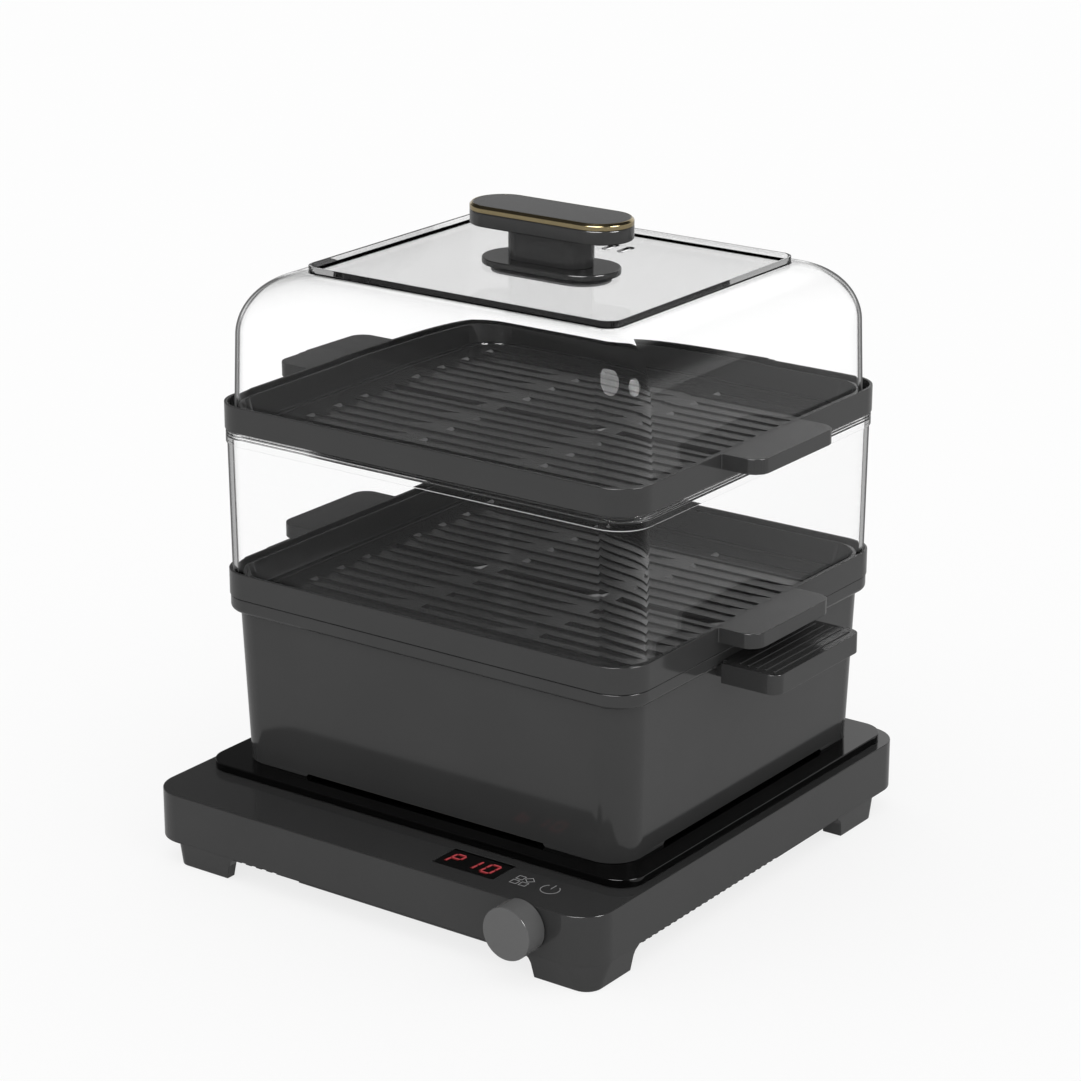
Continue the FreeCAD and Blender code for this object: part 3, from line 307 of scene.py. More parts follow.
housingAbs = glossyMoulding("polishedAbsCharcoal", "#373737", 0.09)
controlAbs = glossyMoulding("satinAbsGrey", "#626262", 0.12)
handleNylon = glossyMoulding("filledNylonCharcoal", "#383838", 0.14)
panCoating = glossyMoulding("nonStickCoatingOnAluminium", "#393939", 0.10, grainMm=0.5, grainDepth=0.006)
blackGlass = glossyMoulding("blackGlassCeramic", "#050505", 0.03, grainDepth=0.0005, patchy=0.01)
windowBlack = glossyMoulding("smokedAcrylicWindow", "#070707", 0.06, grainDepth=0.001, patchy=0.01)
clearPlastic = clearMoulding("clearPolycarbonate", clearLook)
goldPlate = drawnMetal("goldTonePlating", "#b4a47f", 0.16)
zincSteel = drawnMetal("zincPlatedSteel", "#9a9a9c", 0.3)
bareAluminium = drawnMetal("extrudedAluminium", "#c9c9cb", 0.35)
copperWire = drawnMetal("enamelledCopper", "#b8683c", 0.35)
redSegments = litSegments("redLightSegments", "#b4484e")
redSpill = litSegments("redLightInSmokedWindow", "#5c0406")
blackRubber = glossyMoulding("nitrileRubber", "#161616", 0.75, grainMm=0.5, grainDepth=0.04)
paleSilicone = glossyMoulding("siliconeRubber", "#8c8c8c", 0.5, grainMm=0.8, grainDepth=0.02)
printInk = glossyMoulding("paleScreenPrint", "#b9b9b9", 0.4)
circuitResist = glossyMoulding("greenSolderResist", "#1f5a33", 0.35)
blackNylon = glossyMoulding("blackNylonMoulding", "#141414", 0.35, grainDepth=0.03)
whiteMoulding = glossyMoulding("whiteAbsMoulding", "#d8d8d4", 0.4)
micaSheet = glossyMoulding("pressedMica", "#c9bfa6", 0.5, grainMm=2.0, grainDepth=0.05)
ferriteGrey = glossyMoulding("sinteredFerrite", "#2c2c2e", 0.55, grainMm=0.6, grainDepth=0.03)
slotFinish = {
    "housing_plastic": housingAbs, "control_plastic": controlAbs, "handle_plastic": handleNylon,
    "coated_aluminium": panCoating, "clear_plastic": clearPlastic, "black_glass": blackGlass,
    "display_black": windowBlack, "gold_trim": goldPlate, "rubber": blackRubber, "silicone": paleSilicone,
    "steel": zincSteel, "copper": copperWire, "ferrite": ferriteGrey, "mica": micaSheet,
    "circuit_board": circuitResist, "bare_aluminium": bareAluminium, "moulded_black": blackNylon,
    "display_white": whiteMoulding,
}
for entry in frame["record"]["subparts"]:
    carried = frame["nodes"][entry["node"]]
    carried.data.materials.clear()
    carried.data.materials.append(slotFinish[entry["material_slot"]])
print("materials made")


housing = {"halfX": 160.0, "halfY": 166.7, "corner": 20.5, "bottom": 13.6, "top": 44.0, "wall": 2.5,
           "edgeSoft": 0.5, "toothRise": 0.7, "toothWidth": 3.0,
           "sideTeeth": 24, "sideStart": -118.8, "sidePitch": 6.3, "frontTeeth": 4, "frontStart": -89.0,
           "frontPitch": 7.7}
backVents = {"middleX": -86.0, "pitch": 7.0, "count": 12, "width": 3.0, "height": 14.0, "inletX": 108.0,
             "inletWidth": 27.0, "inletHeight": 20.0, "reach": 12.0}
window = {"x": 61.4, "y": -133.3, "halfX": 21.0, "halfY": 11.0, "corner": 0.6, "thick": 2.0, "gap": 0.05,
          "soft": 0.25}


def toothedEdge(bm):
    # a strip under the wall, notched into teeth on both sides and near the front left
    h = housing
    low, high, w = h["bottom"], h["bottom"] + h["toothRise"], h["wall"]
    x0, y0, r = h["halfX"], h["halfY"], h["corner"]
    known = set(bm.faces)
    stack(bm, [(x0, y0, r, low), (x0, y0, r, high), (x0 - w, y0 - w, r - w, high),
               (x0 - w, y0 - w, r - w, low)], loop=True, y=baseY, steps=14)
    rows = [(alongY, h["sideStart"] + i * h["sidePitch"], lambda c: abs(c.x) > x0 - w - margin)
            for i in range(h["sideTeeth"])]
    rows += [(alongX, h["frontStart"] + i * h["frontPitch"], lambda c: c.y < baseY - y0 + w + margin)
             for i in range(h["frontTeeth"])]
    for direction, start, near in rows:
        end = start + h["toothWidth"]
        for place in (start, end):
            strip = [f for f in bm.faces if f not in known and near(centreOf(f))]
            cutLine(bm, strip, direction, place)
        gone = [f for f in bm.faces if f not in known and near(centreOf(f))
                and start < centreOf(f).dot(direction) < end]
        bmesh.ops.delete(bm, geom=gone, context="FACES")
    bmesh.ops.holes_fill(bm, edges=[e for e in bm.edges if e.is_boundary], sides=4)


def baseHousing():
    h = housing
    bm = bmesh.new()
    x0, y0, r, w = h["halfX"], h["halfY"], h["corner"], h["wall"]
    low, top = h["bottom"] + h["toothRise"], h["top"]
    sections = [(x0 - w, y0 - w, r - w, top - w), (x0 - w, y0 - w, r - w, low), (x0, y0, r, low),
                (x0, y0, r, top)]
    rings = stack(bm, sections, closeEnd=False, y=baseY, steps=14)
    mouth, sill = [outline(bm, window["halfX"], window["halfY"], window["corner"], z, steps=3,
                           x=window["x"], y=window["y"]) for z in (top, top - window["thick"])]
    bmesh.ops.bridge_loops(bm, edges=mouth + sill)
    bmesh.ops.contextual_create(bm, geom=sill)
    bmesh.ops.triangle_fill(bm, edges=rings[-1] + mouth, use_beauty=True, use_dissolve=False)
    bmesh.ops.recalc_face_normals(bm, faces=bm.faces)
    v = backVents
    z = (h["bottom"] + top) / 2
    start = v["middleX"] - v["pitch"] * (v["count"] - 1) / 2
    places = [(start + i * v["pitch"], v["width"], v["height"]) for i in range(v["count"])]
    places.append((v["inletX"], v["inletWidth"], v["inletHeight"]))
    spans = [(x - wide / 2, x + wide / 2, z - tall / 2, z + tall / 2) for x, wide, tall in places]
    openHoles(bm, lambda f: centreOf(f).y > baseY + y0 - w - margin and abs(f.normal.y) > 0.99
              and abs(centreOf(f).z - z) < v["reach"], alongX, alongZ, spans)
    toothedEdge(bm)
    return finishPiece(bm, "baseHousing", housingAbs, "base", ["upper_housing"],
                       soft=h["edgeSoft"])


legs = {"span": 39.5, "frontArm": 7.5, "sideArm": 14.0, "corner": 10.0, "sharpCorner": 7.0, "bottom": 0.3,
        "draft": 1.2, "rise": 1.6, "left": -140.6, "right": 160.04, "front": -158.84, "back": 145.0,
        "flare": ((0.0, 0.0), (0.65, 1.9), (0.86, 3.4), (1.0, 6.0)), "soft": 0.5}
cover = {"halfX": 157.2, "halfY": 163.9, "corner": 17.7, "thick": 2.0}
apron = {"left": -47.0, "right": 120.0, "front": -157.6, "back": 170.0, "drop": 1.4}
intake = {"x": -86.0, "y": 77.6, "reach": 38.0, "pitch": 7.6, "width": 3.0, "eachSide": 4}


def leg(bm, corner, cornerTop):
    # one L-shaped leg, its outer corner at the origin and its arms along +x and +y
    g = legs
    known = set(bm.verts)
    d, span = g["draft"], g["span"]
    points = ((d, d), (span, d), (span, g["frontArm"]), (g["sideArm"], g["frontArm"]), (g["sideArm"], span),
              (d, span))
    start = bm.faces.new([bm.verts.new((x, y, g["bottom"])) for x, y in points])
    roundCorners(bm, [start.verts[0]], corner, 8)
    face = [f for f in bm.faces if all(v not in known for v in f.verts)][0]
    rise = housing["bottom"] - g["bottom"]
    for (share, grow), (before, last) in zip(g["flare"][1:], g["flare"]):
        face = pull(bm, [face], rise * (share - before))[0]
        verts = list(face.verts)
        lean = d * (share - before)
        # the outer corner goes from its radius on the ground to the one under the housing;
        # the small margins only tell one group of vertices from the next
        near = cornerTop + 1.5
        arc = [v for v in verts if v.co.x < near and v.co.y < near
               and not (v.co.x > g["sideArm"] - 0.5 and v.co.y > g["frontArm"] - 0.5)]
        wide, wider = [corner + (cornerTop - corner) * part for part in (before, share)]
        pivot = Matrix.Translation((d * (1 - before), d * (1 - before), 0))
        bmesh.ops.scale(bm, vec=(wider / wide, wider / wide, 1), space=pivot.inverted(), verts=arc)
        outX = [v for v in verts if v.co.x < g["sideArm"] / 2 or v in arc]
        outY = [v for v in verts if v.co.y < g["frontArm"] / 2 or v in arc]
        farX = [v for v in verts if v.co.x > span - 2]
        farY = [v for v in verts if v.co.y > span - 2]
        bmesh.ops.translate(bm, vec=(-lean, 0, 0), verts=outX)
        bmesh.ops.translate(bm, vec=(0, -lean, 0), verts=outY)
        bmesh.ops.translate(bm, vec=(grow - last, 0, 0), verts=farX)
        bmesh.ops.translate(bm, vec=(0, grow - last, 0), verts=farY)
    # the last stretch stands straight, just proud of the wall, so leg and wall read as one
    pull(bm, [face], g["rise"])
    return [v for v in bm.verts if v not in known]


def underside():
    g, c, a, n = legs, cover, apron, intake
    bm = bmesh.new()
    z = housing["bottom"]
    stack(bm, [(c["halfX"], c["halfY"], c["corner"], level) for level in (z, z + c["thick"])], y=baseY)
    spans = []
    for i in range(-n["eachSide"], n["eachSide"] + 1):
        across = n["y"] + i * n["pitch"]
        half = (n["reach"] ** 2 - (i * n["pitch"]) ** 2) ** 0.5
        spans.append((n["x"] - half, n["x"] + half, across - n["width"] / 2, across + n["width"] / 2))
    bmesh.ops.recalc_face_normals(bm, faces=bm.faces)
    openHoles(bm, lambda f: abs(f.normal.z) > 0.99, alongX, alongY, spans)
    block(bm, (a["left"], a["front"], z - a["drop"]), (a["right"], a["back"], z))
    for x, y, flipX, flipY in ((g["left"], g["front"], 1, 1), (g["right"], g["front"], -1, 1),
                               (g["left"], g["back"], 1, -1), (g["right"], g["back"], -1, -1)):
        place = Matrix.Translation((x, y, 0)) @ Matrix.Diagonal((flipX, flipY, 1, 1))
        underCorner = x == g["right"] and y == g["front"]
        corners = (g["corner"], housing["corner"]) if underCorner else (g["sharpCorner"],) * 2
        bmesh.ops.transform(bm, matrix=place, verts=leg(bm, *corners))
    return finishPiece(bm, "underside", housingAbs, "base", ["bottom_cover"],
                       soft=g["soft"])


glass = {"halfX": 154.1, "halfY": 141.2, "y": 25.8, "corner": 16.0, "bottom": 44.5, "top": 49.1, "soft": 0.35}


def glassPlate():
    g = glass
    bm = bmesh.new()
    stack(bm, [(g["halfX"], g["halfY"], g["corner"], z) for z in (g["bottom"], g["top"])], y=g["y"], steps=14)
    return finishPiece(bm, "glassPlate", blackGlass, "base", ["glass_plate"], soft=g["soft"],
                       softSteps=4)


digits = {"x": 49.0, "y": -133.3, "height": 11.0, "width": 6.3, "pitch": 12.2, "stroke": 0.8, "slant": 0.08,
          "words": "P10", "thick": 0.06, "gap": 0.6, "spillStroke": 2.1, "spillShift": -0.75}
segmentSets = {"P": "abefg", "1": "bc", "0": "abcdef"}
marks = {"gridX": 97.0, "gridY": -136.0, "gridSize": 11.4, "cellAt": 0.53, "turnedAt": 0.55, "cell": 0.8,
         "powerX": 116.1, "powerY": -136.1, "powerSize": 11.4, "openHalf": 38.0, "barLow": 0.6,
         "barHigh": 0.4, "stroke": 0.32, "thick": 0.05}
knobShape = {"x": 113.7, "z": 30.8, "radius": 15.7, "front": -174.6, "back": -159.4, "edge": 0.9,
             "backEdge": 0.5, "boss": 9.0, "bossDeep": 6.0}


def displayPieces():
    d, p, top = digits, window, housing["top"]
    bm = bmesh.new()
    halfX, halfY = p["halfX"] - p["gap"], p["halfY"] - p["gap"]
    block(bm, (p["x"] - halfX, p["y"] - halfY, top - p["thick"]), (p["x"] + halfX, p["y"] + halfY, top))
    finishPiece(bm, "displayWindow", windowBlack, "base", ["display_window"], soft=p["soft"])
    # the spill is painted glow: a wider, dimmer emitting copy of the digits, shifted down, standing in for
    # their light spreading in the smoked window
    for name, material, stroke, shift, thick in (
            ("displayDigits", redSegments, d["stroke"], 0.0, d["thick"]),
            ("displaySpill", redSpill, d["spillStroke"], d["spillShift"], d["thick"] / 2)):
        bm = bmesh.new()
        w, h, g = d["width"], d["height"], d["gap"]
        bars = {"a": (0, h / 2, w, stroke), "g": (0, 0, w, stroke), "d": (0, -h / 2, w, stroke),
                "f": (-w / 2, h / 4, stroke, h / 2), "b": (w / 2, h / 4, stroke, h / 2),
                "e": (-w / 2, -h / 4, stroke, h / 2), "c": (w / 2, -h / 4, stroke, h / 2)}
        for index, letter in enumerate(d["words"]):
            for key in segmentSets[letter]:
                x, y, long, tall = bars[key]
                trimX, trimY = (g, 0) if long > tall else (0, g)
                made = block(bm, (-long / 2 + trimX, -tall / 2 + trimY, 0),
                             (long / 2 - trimX, tall / 2 - trimY, thick))
                bmesh.ops.translate(bm, vec=(x + index * d["pitch"], y + shift, 0), verts=made)
        lean = Matrix.Identity(4)
        lean[0][1] = d["slant"]
        bmesh.ops.transform(bm, matrix=Matrix.Translation((d["x"], d["y"], top)) @ lean, verts=bm.verts)
        finishPiece(bm, name, material, "base")


def touchMarks():
    m = marks
    bm = bmesh.new()
    top = housing["top"]
    half = m["gridSize"] / 2
    # three square cells and a fourth that stands on its corner
    for x, y, place, turn in ((-1, 1, m["cellAt"], 0), (-1, -1, m["cellAt"], 0), (1, -1, m["cellAt"], 0),
                              (1, 1, m["turnedAt"], 45)):
        squareFrame(bm, m["gridX"] + x * half * place, m["gridY"] + y * half * place, half * m["cell"],
                    m["stroke"], top, turn)
    # the power mark: a ring open at the top, and a bar in the opening
    radius, opening = m["powerSize"] / 2, radians(m["openHalf"])
    known = set(bm.faces)
    ends = [bm.verts.new((m["powerX"] + r * sin(opening), m["powerY"] + r * cos(opening), top))
            for r in (radius - m["stroke"], radius)]
    edge = bm.edges.new(ends)
    bmesh.ops.spin(bm, geom=[edge] + ends, cent=(m["powerX"], m["powerY"], top), axis=(0, 0, -1),
                   angle=2 * pi - 2 * opening, steps=40)
    pull(bm, [f for f in bm.faces if f not in known], m["thick"])
    block(bm, (m["powerX"] - m["stroke"] / 2, m["powerY"] + m["barLow"], top),
          (m["powerX"] + m["stroke"] / 2, m["powerY"] + radius + m["barHigh"], top + m["thick"]))
    return finishPiece(bm, "touchMarks", printInk, "base")


def squareFrame(bm, x, y, size, stroke, z, turn):
    # a thin printed square frame, size across, turned by so many degrees
    half = size / 2
    known = set(bm.verts)
    for low, high in (((-half, half - stroke), (half, half)), ((-half, -half), (half, -half + stroke)),
                      ((-half, -half + stroke), (-half + stroke, half - stroke)),
                      ((half - stroke, -half + stroke), (half, half - stroke))):
        block(bm, low + (0,), high + (marks["thick"],))
    bmesh.ops.transform(bm, matrix=Matrix.Translation((x, y, z)) @ Matrix.Rotation(radians(turn), 4, "Z"),
                        verts=[v for v in bm.verts if v not in known])


def knob():
    # the half profile from the middle of the face round to the bottom of the shaft's socket
    k = knobShape
    bm = bmesh.new()
    r, e, b = k["radius"], k["edge"], k["backEdge"]
    profile = [(0, k["front"]), (r - e, k["front"]), (r - e * 0.3, k["front"] + e * 0.3), (r, k["front"] + e),
               (r, k["back"] - b), (r - b, k["back"]), (k["boss"], k["back"]),
               (k["boss"], k["back"] - k["bossDeep"]), (0, k["back"] - k["bossDeep"])]
    verts = [bm.verts.new((k["x"] + out, y, k["z"])) for out, y in profile]
    edges = [bm.edges.new(pair) for pair in zip(verts, verts[1:])]
    bmesh.ops.spin(bm, geom=verts + edges, cent=(k["x"], 0, k["z"]), axis=(0, 1, 0), angle=2 * pi, steps=96,
                   use_merge=True)
    return finishPiece(bm, "knobCap", controlAbs, "knob", ["knob"], crease=25)


baseHousing()
underside()
glassPlate()
displayPieces()
touchMarks()
knob()
print("base made")


pot = {"footX": 139.7, "footY": 127.15, "footCorner": 20.0, "foot": 49.1, "footRise": 2.1, "ringWidth": 12.0,
       "ringCorner": 12.0, "notchX": 87.0, "notchY": 85.5, "notchSlant": 0.8, "notchMargin": 0.4,
       "topX": 143.0, "topY": 130.45, "topCorner": 21.65, "rimX": 147.5, "rimY": 133.65, "rimCorner": 20.9,
       "rimBottom": 144.3, "rimTop": 153.3, "rimRound": 3.0, "lip": (143.3, 130.75, 21.8), "wall": 2.0,
       "floorGain": 0.2, "floor": 53.7, "soft": 0.4}
potHandleShape = {"rootX": 138.7, "rootLess": 0.5, "neckX": 150.6, "neckLess": 7.0, "endX": 188.1,
                  "half": 45.7, "corner": 7.0, "bottom": 137.0, "top": 148.9, "ribs": 5, "ribPitch": 5.7,
                  "ribMargin": 5.0, "ribWidth": 1.5, "ribRise": 0.6, "soft": 0.3}


def potFeet(bm):
    # the standing ring, cut away between its four corners; its ends slant
    p = pot
    base = p["foot"] + p["footRise"]
    x0, y0, r, n = p["footX"], p["footY"], p["footCorner"], p["ringWidth"]
    known = set(bm.faces)
    stack(bm, [(x0, y0, r, p["foot"]), (x0, y0, r, base), (x0 - n, y0 - n, p["ringCorner"], base),
               (x0 - n, y0 - n, p["ringCorner"], p["foot"])], loop=True, steps=14)
    for axis, across, reach, edge in ((alongX, alongY, p["notchX"], y0), (alongY, alongX, p["notchY"], x0)):
        centre, other = (tierY, 0.0) if axis.y else (0.0, tierY)
        for side in (-1, 1):
            def near(face):
                return face not in known and (centreOf(face).dot(across) - other) * side > edge - n - margin
            for end in (-1, 1):
                cutPlane(bm, [f for f in bm.faces if near(f)],
                         axis * (centre + end * reach) + alongZ * p["foot"],
                         axis * end + alongZ * p["notchSlant"])
            gone = [f for f in bm.faces if near(f)
                    and abs(centreOf(f).dot(axis) - centre) < reach - p["notchMargin"]]
            bmesh.ops.delete(bm, geom=gone, context="FACES")
    bmesh.ops.holes_fill(bm, edges=[e for e in bm.edges if e.is_boundary], sides=4)


def potBody():
    p = pot
    bm = bmesh.new()
    base = p["foot"] + p["footRise"]
    w, lip = p["wall"], p["lip"]
    within = p["floorGain"] - w
    sections = [(p["footX"], p["footY"], p["footCorner"], base),
                (p["topX"], p["topY"], p["topCorner"], p["rimBottom"])]
    for step in range(6):
        angle = pi / 2 * step / 5
        inset = p["rimRound"] * (1 - sin(angle))
        sections.append((p["rimX"] - inset, p["rimY"] - inset, p["rimCorner"] - inset,
                         p["rimBottom"] + p["rimRound"] * (1 - cos(angle))))
    sections += [(p["rimX"], p["rimY"], p["rimCorner"], p["rimTop"]), lip + (p["rimTop"],), lip + (potTop,),
                 tuple(v - w for v in lip) + (potTop,),
                 (p["footX"] + within, p["footY"] + within, p["footCorner"] - w, p["floor"])]
    stack(bm, sections, steps=14)
    potFeet(bm)
    return finishPiece(bm, "potBody", panCoating, "pot", ["pot_body"], soft=p["soft"])


def potHandle(side, name, node):
    h = potHandleShape
    bm = bmesh.new()
    neck, less = h["half"] - h["neckLess"], h["rootLess"]
    block(bm, (h["rootX"], tierY - neck, h["bottom"] + less), (h["neckX"] + 1, tierY + neck, h["top"] - less))
    made = block(bm, (h["neckX"], tierY - h["half"], h["bottom"]), (h["endX"], tierY + h["half"], h["top"]))
    outer = [e for e in {e for v in made for e in v.link_edges}
             if abs(e.verts[0].co.z - e.verts[1].co.z) > 1 and e.verts[0].co.x > h["endX"] - 1]
    roundCorners(bm, outer, h["corner"], 10, affect="EDGES")
    for index in range(h["ribs"]):
        x = h["endX"] - h["ribMargin"] - index * h["ribPitch"]
        block(bm, (x - h["ribWidth"], tierY - h["half"] + h["ribMargin"], h["top"] - less),
              (x, tierY + h["half"] - h["ribMargin"], h["top"] + h["ribRise"]))
    bmesh.ops.scale(bm, vec=(side, 1, 1), verts=bm.verts)
    return finishPiece(bm, name, handleNylon, "pot", [node], soft=h["soft"])


trayShape = {"halfX": 148.0, "halfY": 134.15, "corner": 21.4, "skirt": 15.7, "lip": 1.8, "groove": 3.6,
             "grooveDepth": 9.0, "grooveInner": 22.8, "panLip": 2.2, "draft": 2.6, "floorDrop": 0.9,
             "floor": 4.0, "belowX": 140.2, "belowY": 127.65, "belowTaper": 1.0, "innerDrop": 2.1,
             "stepIn": 3.6, "stepRise": 0.7, "stepCorners": (15.5, 16.0, 19.6), "earReach": 25.2,
             "earHalf": 41.3, "earShift": -3.8, "earCorner": 10.0, "earRoot": 0.8, "earSink": 0.9,
             "earMargin": 0.5, "earThick": 8.9, "soft": 0.3}
valleys = {"rows": 8, "pitch": 12.6, "half": 3.5, "wall": 0.6, "wallDrop": 0.95, "ramp": 3.4, "depth": 1.2,
           "riser": 0.45, "length": 120.5, "breakAt": 42.7, "breakWidth": 12.0, "fade": 16.0, "facet": 3.3,
           "endShort": 1.0, "slotWide": 2.2, "slotInset": 8.0, "slotEdge": 0.1, "middleHalf": 4.6,
           "middleDepth": 2.6}


def carveFloor(bm, seat):
    # valleys across the floor, steep on the far side and shallow towards the near one;
    # every second row is in three parts, each with a steam slot, and the middle row is the widest
    v, t = valleys, trayShape
    level = seat - t["floorDrop"]
    under = level - t["floor"]

    def onFloor(face, y=None, half=0.0):
        centre = centreOf(face)
        flat = abs(centre.z - level) < margin and abs(face.normal.z) > 0.99
        return flat and (y is None or abs(centre.y - y) < half)

    inner, outer = v["breakAt"] - v["breakWidth"] / 2, v["breakAt"] + v["breakWidth"] / 2
    slots = []
    for row in range(-v["rows"], v["rows"] + 1):
        y = tierY + row * v["pitch"]
        half = v["middleHalf"] if row == 0 else v["half"]
        deeper = v["middleDepth"] / v["depth"] if row == 0 else 1.0
        for side in (-1, 1):
            cutLine(bm, [f for f in bm.faces if onFloor(f)], alongY, y + side * half)
        split = row % 2 == 0
        runs, start, end = [(-v["length"], v["length"])], v["fade"], v["endShort"]
        if split:
            runs = [(-v["length"], -outer), (-inner, inner), (outer, v["length"])]
            start, end = v["facet"], v["fade"]
        for x0, x1 in runs:
            for place in (x0, x1):
                cutLine(bm, [f for f in bm.faces if onFloor(f, y, half)], alongX, place)
            face = [f for f in bm.faces if onFloor(f, y, half) and x0 < centreOf(f).x < x1]
            for far, drop in ((v["wall"], v["wallDrop"]), (v["wall"] + v["ramp"], v["depth"])):
                bmesh.ops.inset_region(bm, faces=face, thickness=0.3, use_even_offset=True)
                share = drop / v["depth"]
                for vert in face[0].verts:
                    vert.co.y = y + half - far if vert.co.y > y else y - half + v["riser"] * share
                    vert.co.x = x0 + start * share if vert.co.x < (x0 + x1) / 2 else x1 - end * share
                    vert.co.z = level - drop * deeper
            if split:
                low = y - half + v["riser"] + v["slotEdge"]
                high = y + half - v["wall"] - v["ramp"] - v["slotEdge"]
                line, wide = (low + high) / 2, min(v["slotWide"], high - low) / 2
                slots.append((x0 + v["slotInset"], x1 - v["slotInset"] - v["fade"] / 2, line - wide,
                              line + wide))
    openHoles(bm, lambda f: abs(f.normal.z) > 0.99 and under - margin < centreOf(f).z < level - 0.5,
              alongX, alongY, slots)


def ear(bm, seat, side):
    # side ear with rounded outer corners and blended roots, sunk a little into the skirt
    t = trayShape
    known = set(bm.verts)
    root, end, half, q = t["halfX"], t["halfX"] + t["earReach"], t["earHalf"], t["earRoot"]
    sunk, wide = root - t["earSink"], half + q + t["earMargin"]
    low = seat + t["skirt"] - t["earThick"]
    middleY = tierY + t["earShift"]
    points = [(sunk, -wide), (root, -wide), (root, -half), (end, -half), (end, half), (root, half),
              (root, wide), (sunk, wide)]
    start = bm.faces.new([bm.verts.new((x, y + middleY, low)) for x, y in points])
    corners = [(v, q if v.co.x < end - 1 else t["earCorner"]) for v in start.verts if v.co.x > root - margin
               and abs(abs(v.co.y - middleY) - half) < margin]
    for vert, radius in corners:
        roundCorners(bm, [vert], radius, 8)
    pull(bm, [f for f in bm.faces if all(v not in known for v in f.verts)], t["earThick"])
    bmesh.ops.scale(bm, vec=(side, 1, 1), verts=[v for v in bm.verts if v not in known])


def tray(seat, name, node, body):
    t = trayShape
    bm = bmesh.new()
    x, y, r, top = t["halfX"], t["halfY"], t["corner"], seat + t["skirt"]
    inset = t["lip"] + t["groove"]
    mouth = inset + t["panLip"]
    floor = seat - t["floorDrop"]
    fx, fy = x - mouth - t["draft"], y - mouth - t["draft"]
    step, rise = t["stepIn"], t["stepRise"]
    cornerLow, cornerStep, cornerFloor = t["stepCorners"]
    below = (t["belowX"], t["belowY"], r - t["draft"])
    sections = [(fx - step - rise / 2, fy - step - rise / 2, cornerLow, floor),
                (fx - step, fy - step, cornerStep, floor + rise), (fx, fy, cornerFloor, floor + rise),
                (x - mouth, y - mouth, t["grooveInner"] - t["panLip"], top - t["innerDrop"]),
                (x - inset, y - inset, t["grooveInner"], top - t["innerDrop"]),
                (x - inset, y - inset, t["grooveInner"], top - t["grooveDepth"]),
                (x - t["lip"], y - t["lip"], r - t["lip"], top - t["grooveDepth"]),
                (x - t["lip"], y - t["lip"], r - t["lip"], top), (x, y, r, top), (x, y, r, seat),
                below + (seat,), tuple(v - t["belowTaper"] for v in below) + (floor - t["floor"],)]
    stack(bm, sections, steps=12)
    bmesh.ops.recalc_face_normals(bm, faces=bm.faces)
    carveFloor(bm, seat)
    for side in (-1, 1):
        ear(bm, seat, side)
    return finishPiece(bm, name, panCoating, body, [node], soft=t["soft"], crease=9,
                       angle=79)


clear = {"halfX": 145.8, "halfY": 131.95, "corner": 19.2, "wall": 2.8, "ringBottom": 160.5, "ringGain": 1.0,
         "flangeBottom": 247.6, "flangeLess": 0.5, "flangeTop": 255.3, "lines": (252.3, 254.0),
         "lineDeep": 0.9, "lineHalf": 0.45, "lidBottom": 262.6, "lidLess": 1.2, "lidCorner": 25.2,
         "shoulder": 309.9, "draft": 1.84, "crownX": 108.5, "crownY": 94.3, "crownCorner": 9.0,
         "lidWall": 1.6, "rimTop": 350.6, "rimWidth": 4.2, "rimFlat": 1.2, "panelTop": 346.4,
         "ventLong": 7.0, "ventHalf": 2.4, "ventPitch": 11.0, "ventY": 60.4, "steps": 22, "soft": 0.3}


def clearRing():
    c = clear
    bm = bmesh.new()

    def level(z, less=0.0):
        grow = c["ringGain"] * (z - c["ringBottom"]) / (ringTop - c["ringBottom"]) - less
        return c["halfX"] + grow, c["halfY"] + grow, c["corner"] + grow, z

    wide = tuple(trayShape[key] - c["flangeLess"] for key in ("halfX", "halfY", "corner"))
    narrow = tuple(v - c["lineDeep"] for v in wide)
    lines = [section for z in c["lines"]
             for section in (wide + (z - c["lineHalf"],), narrow + (z,), wide + (z + c["lineHalf"],))]
    stack(bm, [level(c["ringBottom"], c["wall"]), level(c["ringBottom"]), level(c["flangeBottom"]),
               wide + (c["flangeBottom"],)] + lines +
          [wide + (c["flangeTop"],), level(c["flangeTop"]), level(ringTop), level(ringTop, c["wall"])],
          loop=True, steps=16)
    return finishPiece(bm, "clearRing", clearPlastic, "ring", ["clear_ring"], soft=c["soft"])


def lidShell(inset, top):
    # outlines from the lower edge up the wall and over the shoulder
    c = clear
    start = tuple(c[key] - c["lidLess"] - inset for key in ("halfX", "halfY", "lidCorner"))
    wallTop = tuple(v - c["draft"] for v in start)
    shell = [start + (c["lidBottom"],), wallTop + (c["shoulder"],)]
    for step in range(1, c["steps"] + 1):
        angle = pi / 2 * step / c["steps"]
        across = [low + (high - low) * cos(angle)
                  for low, high in zip((c["crownX"], c["crownY"], c["crownCorner"]), wallTop)]
        shell.append(tuple(across) + (c["shoulder"] + (top - c["shoulder"]) * sin(angle),))
    return shell


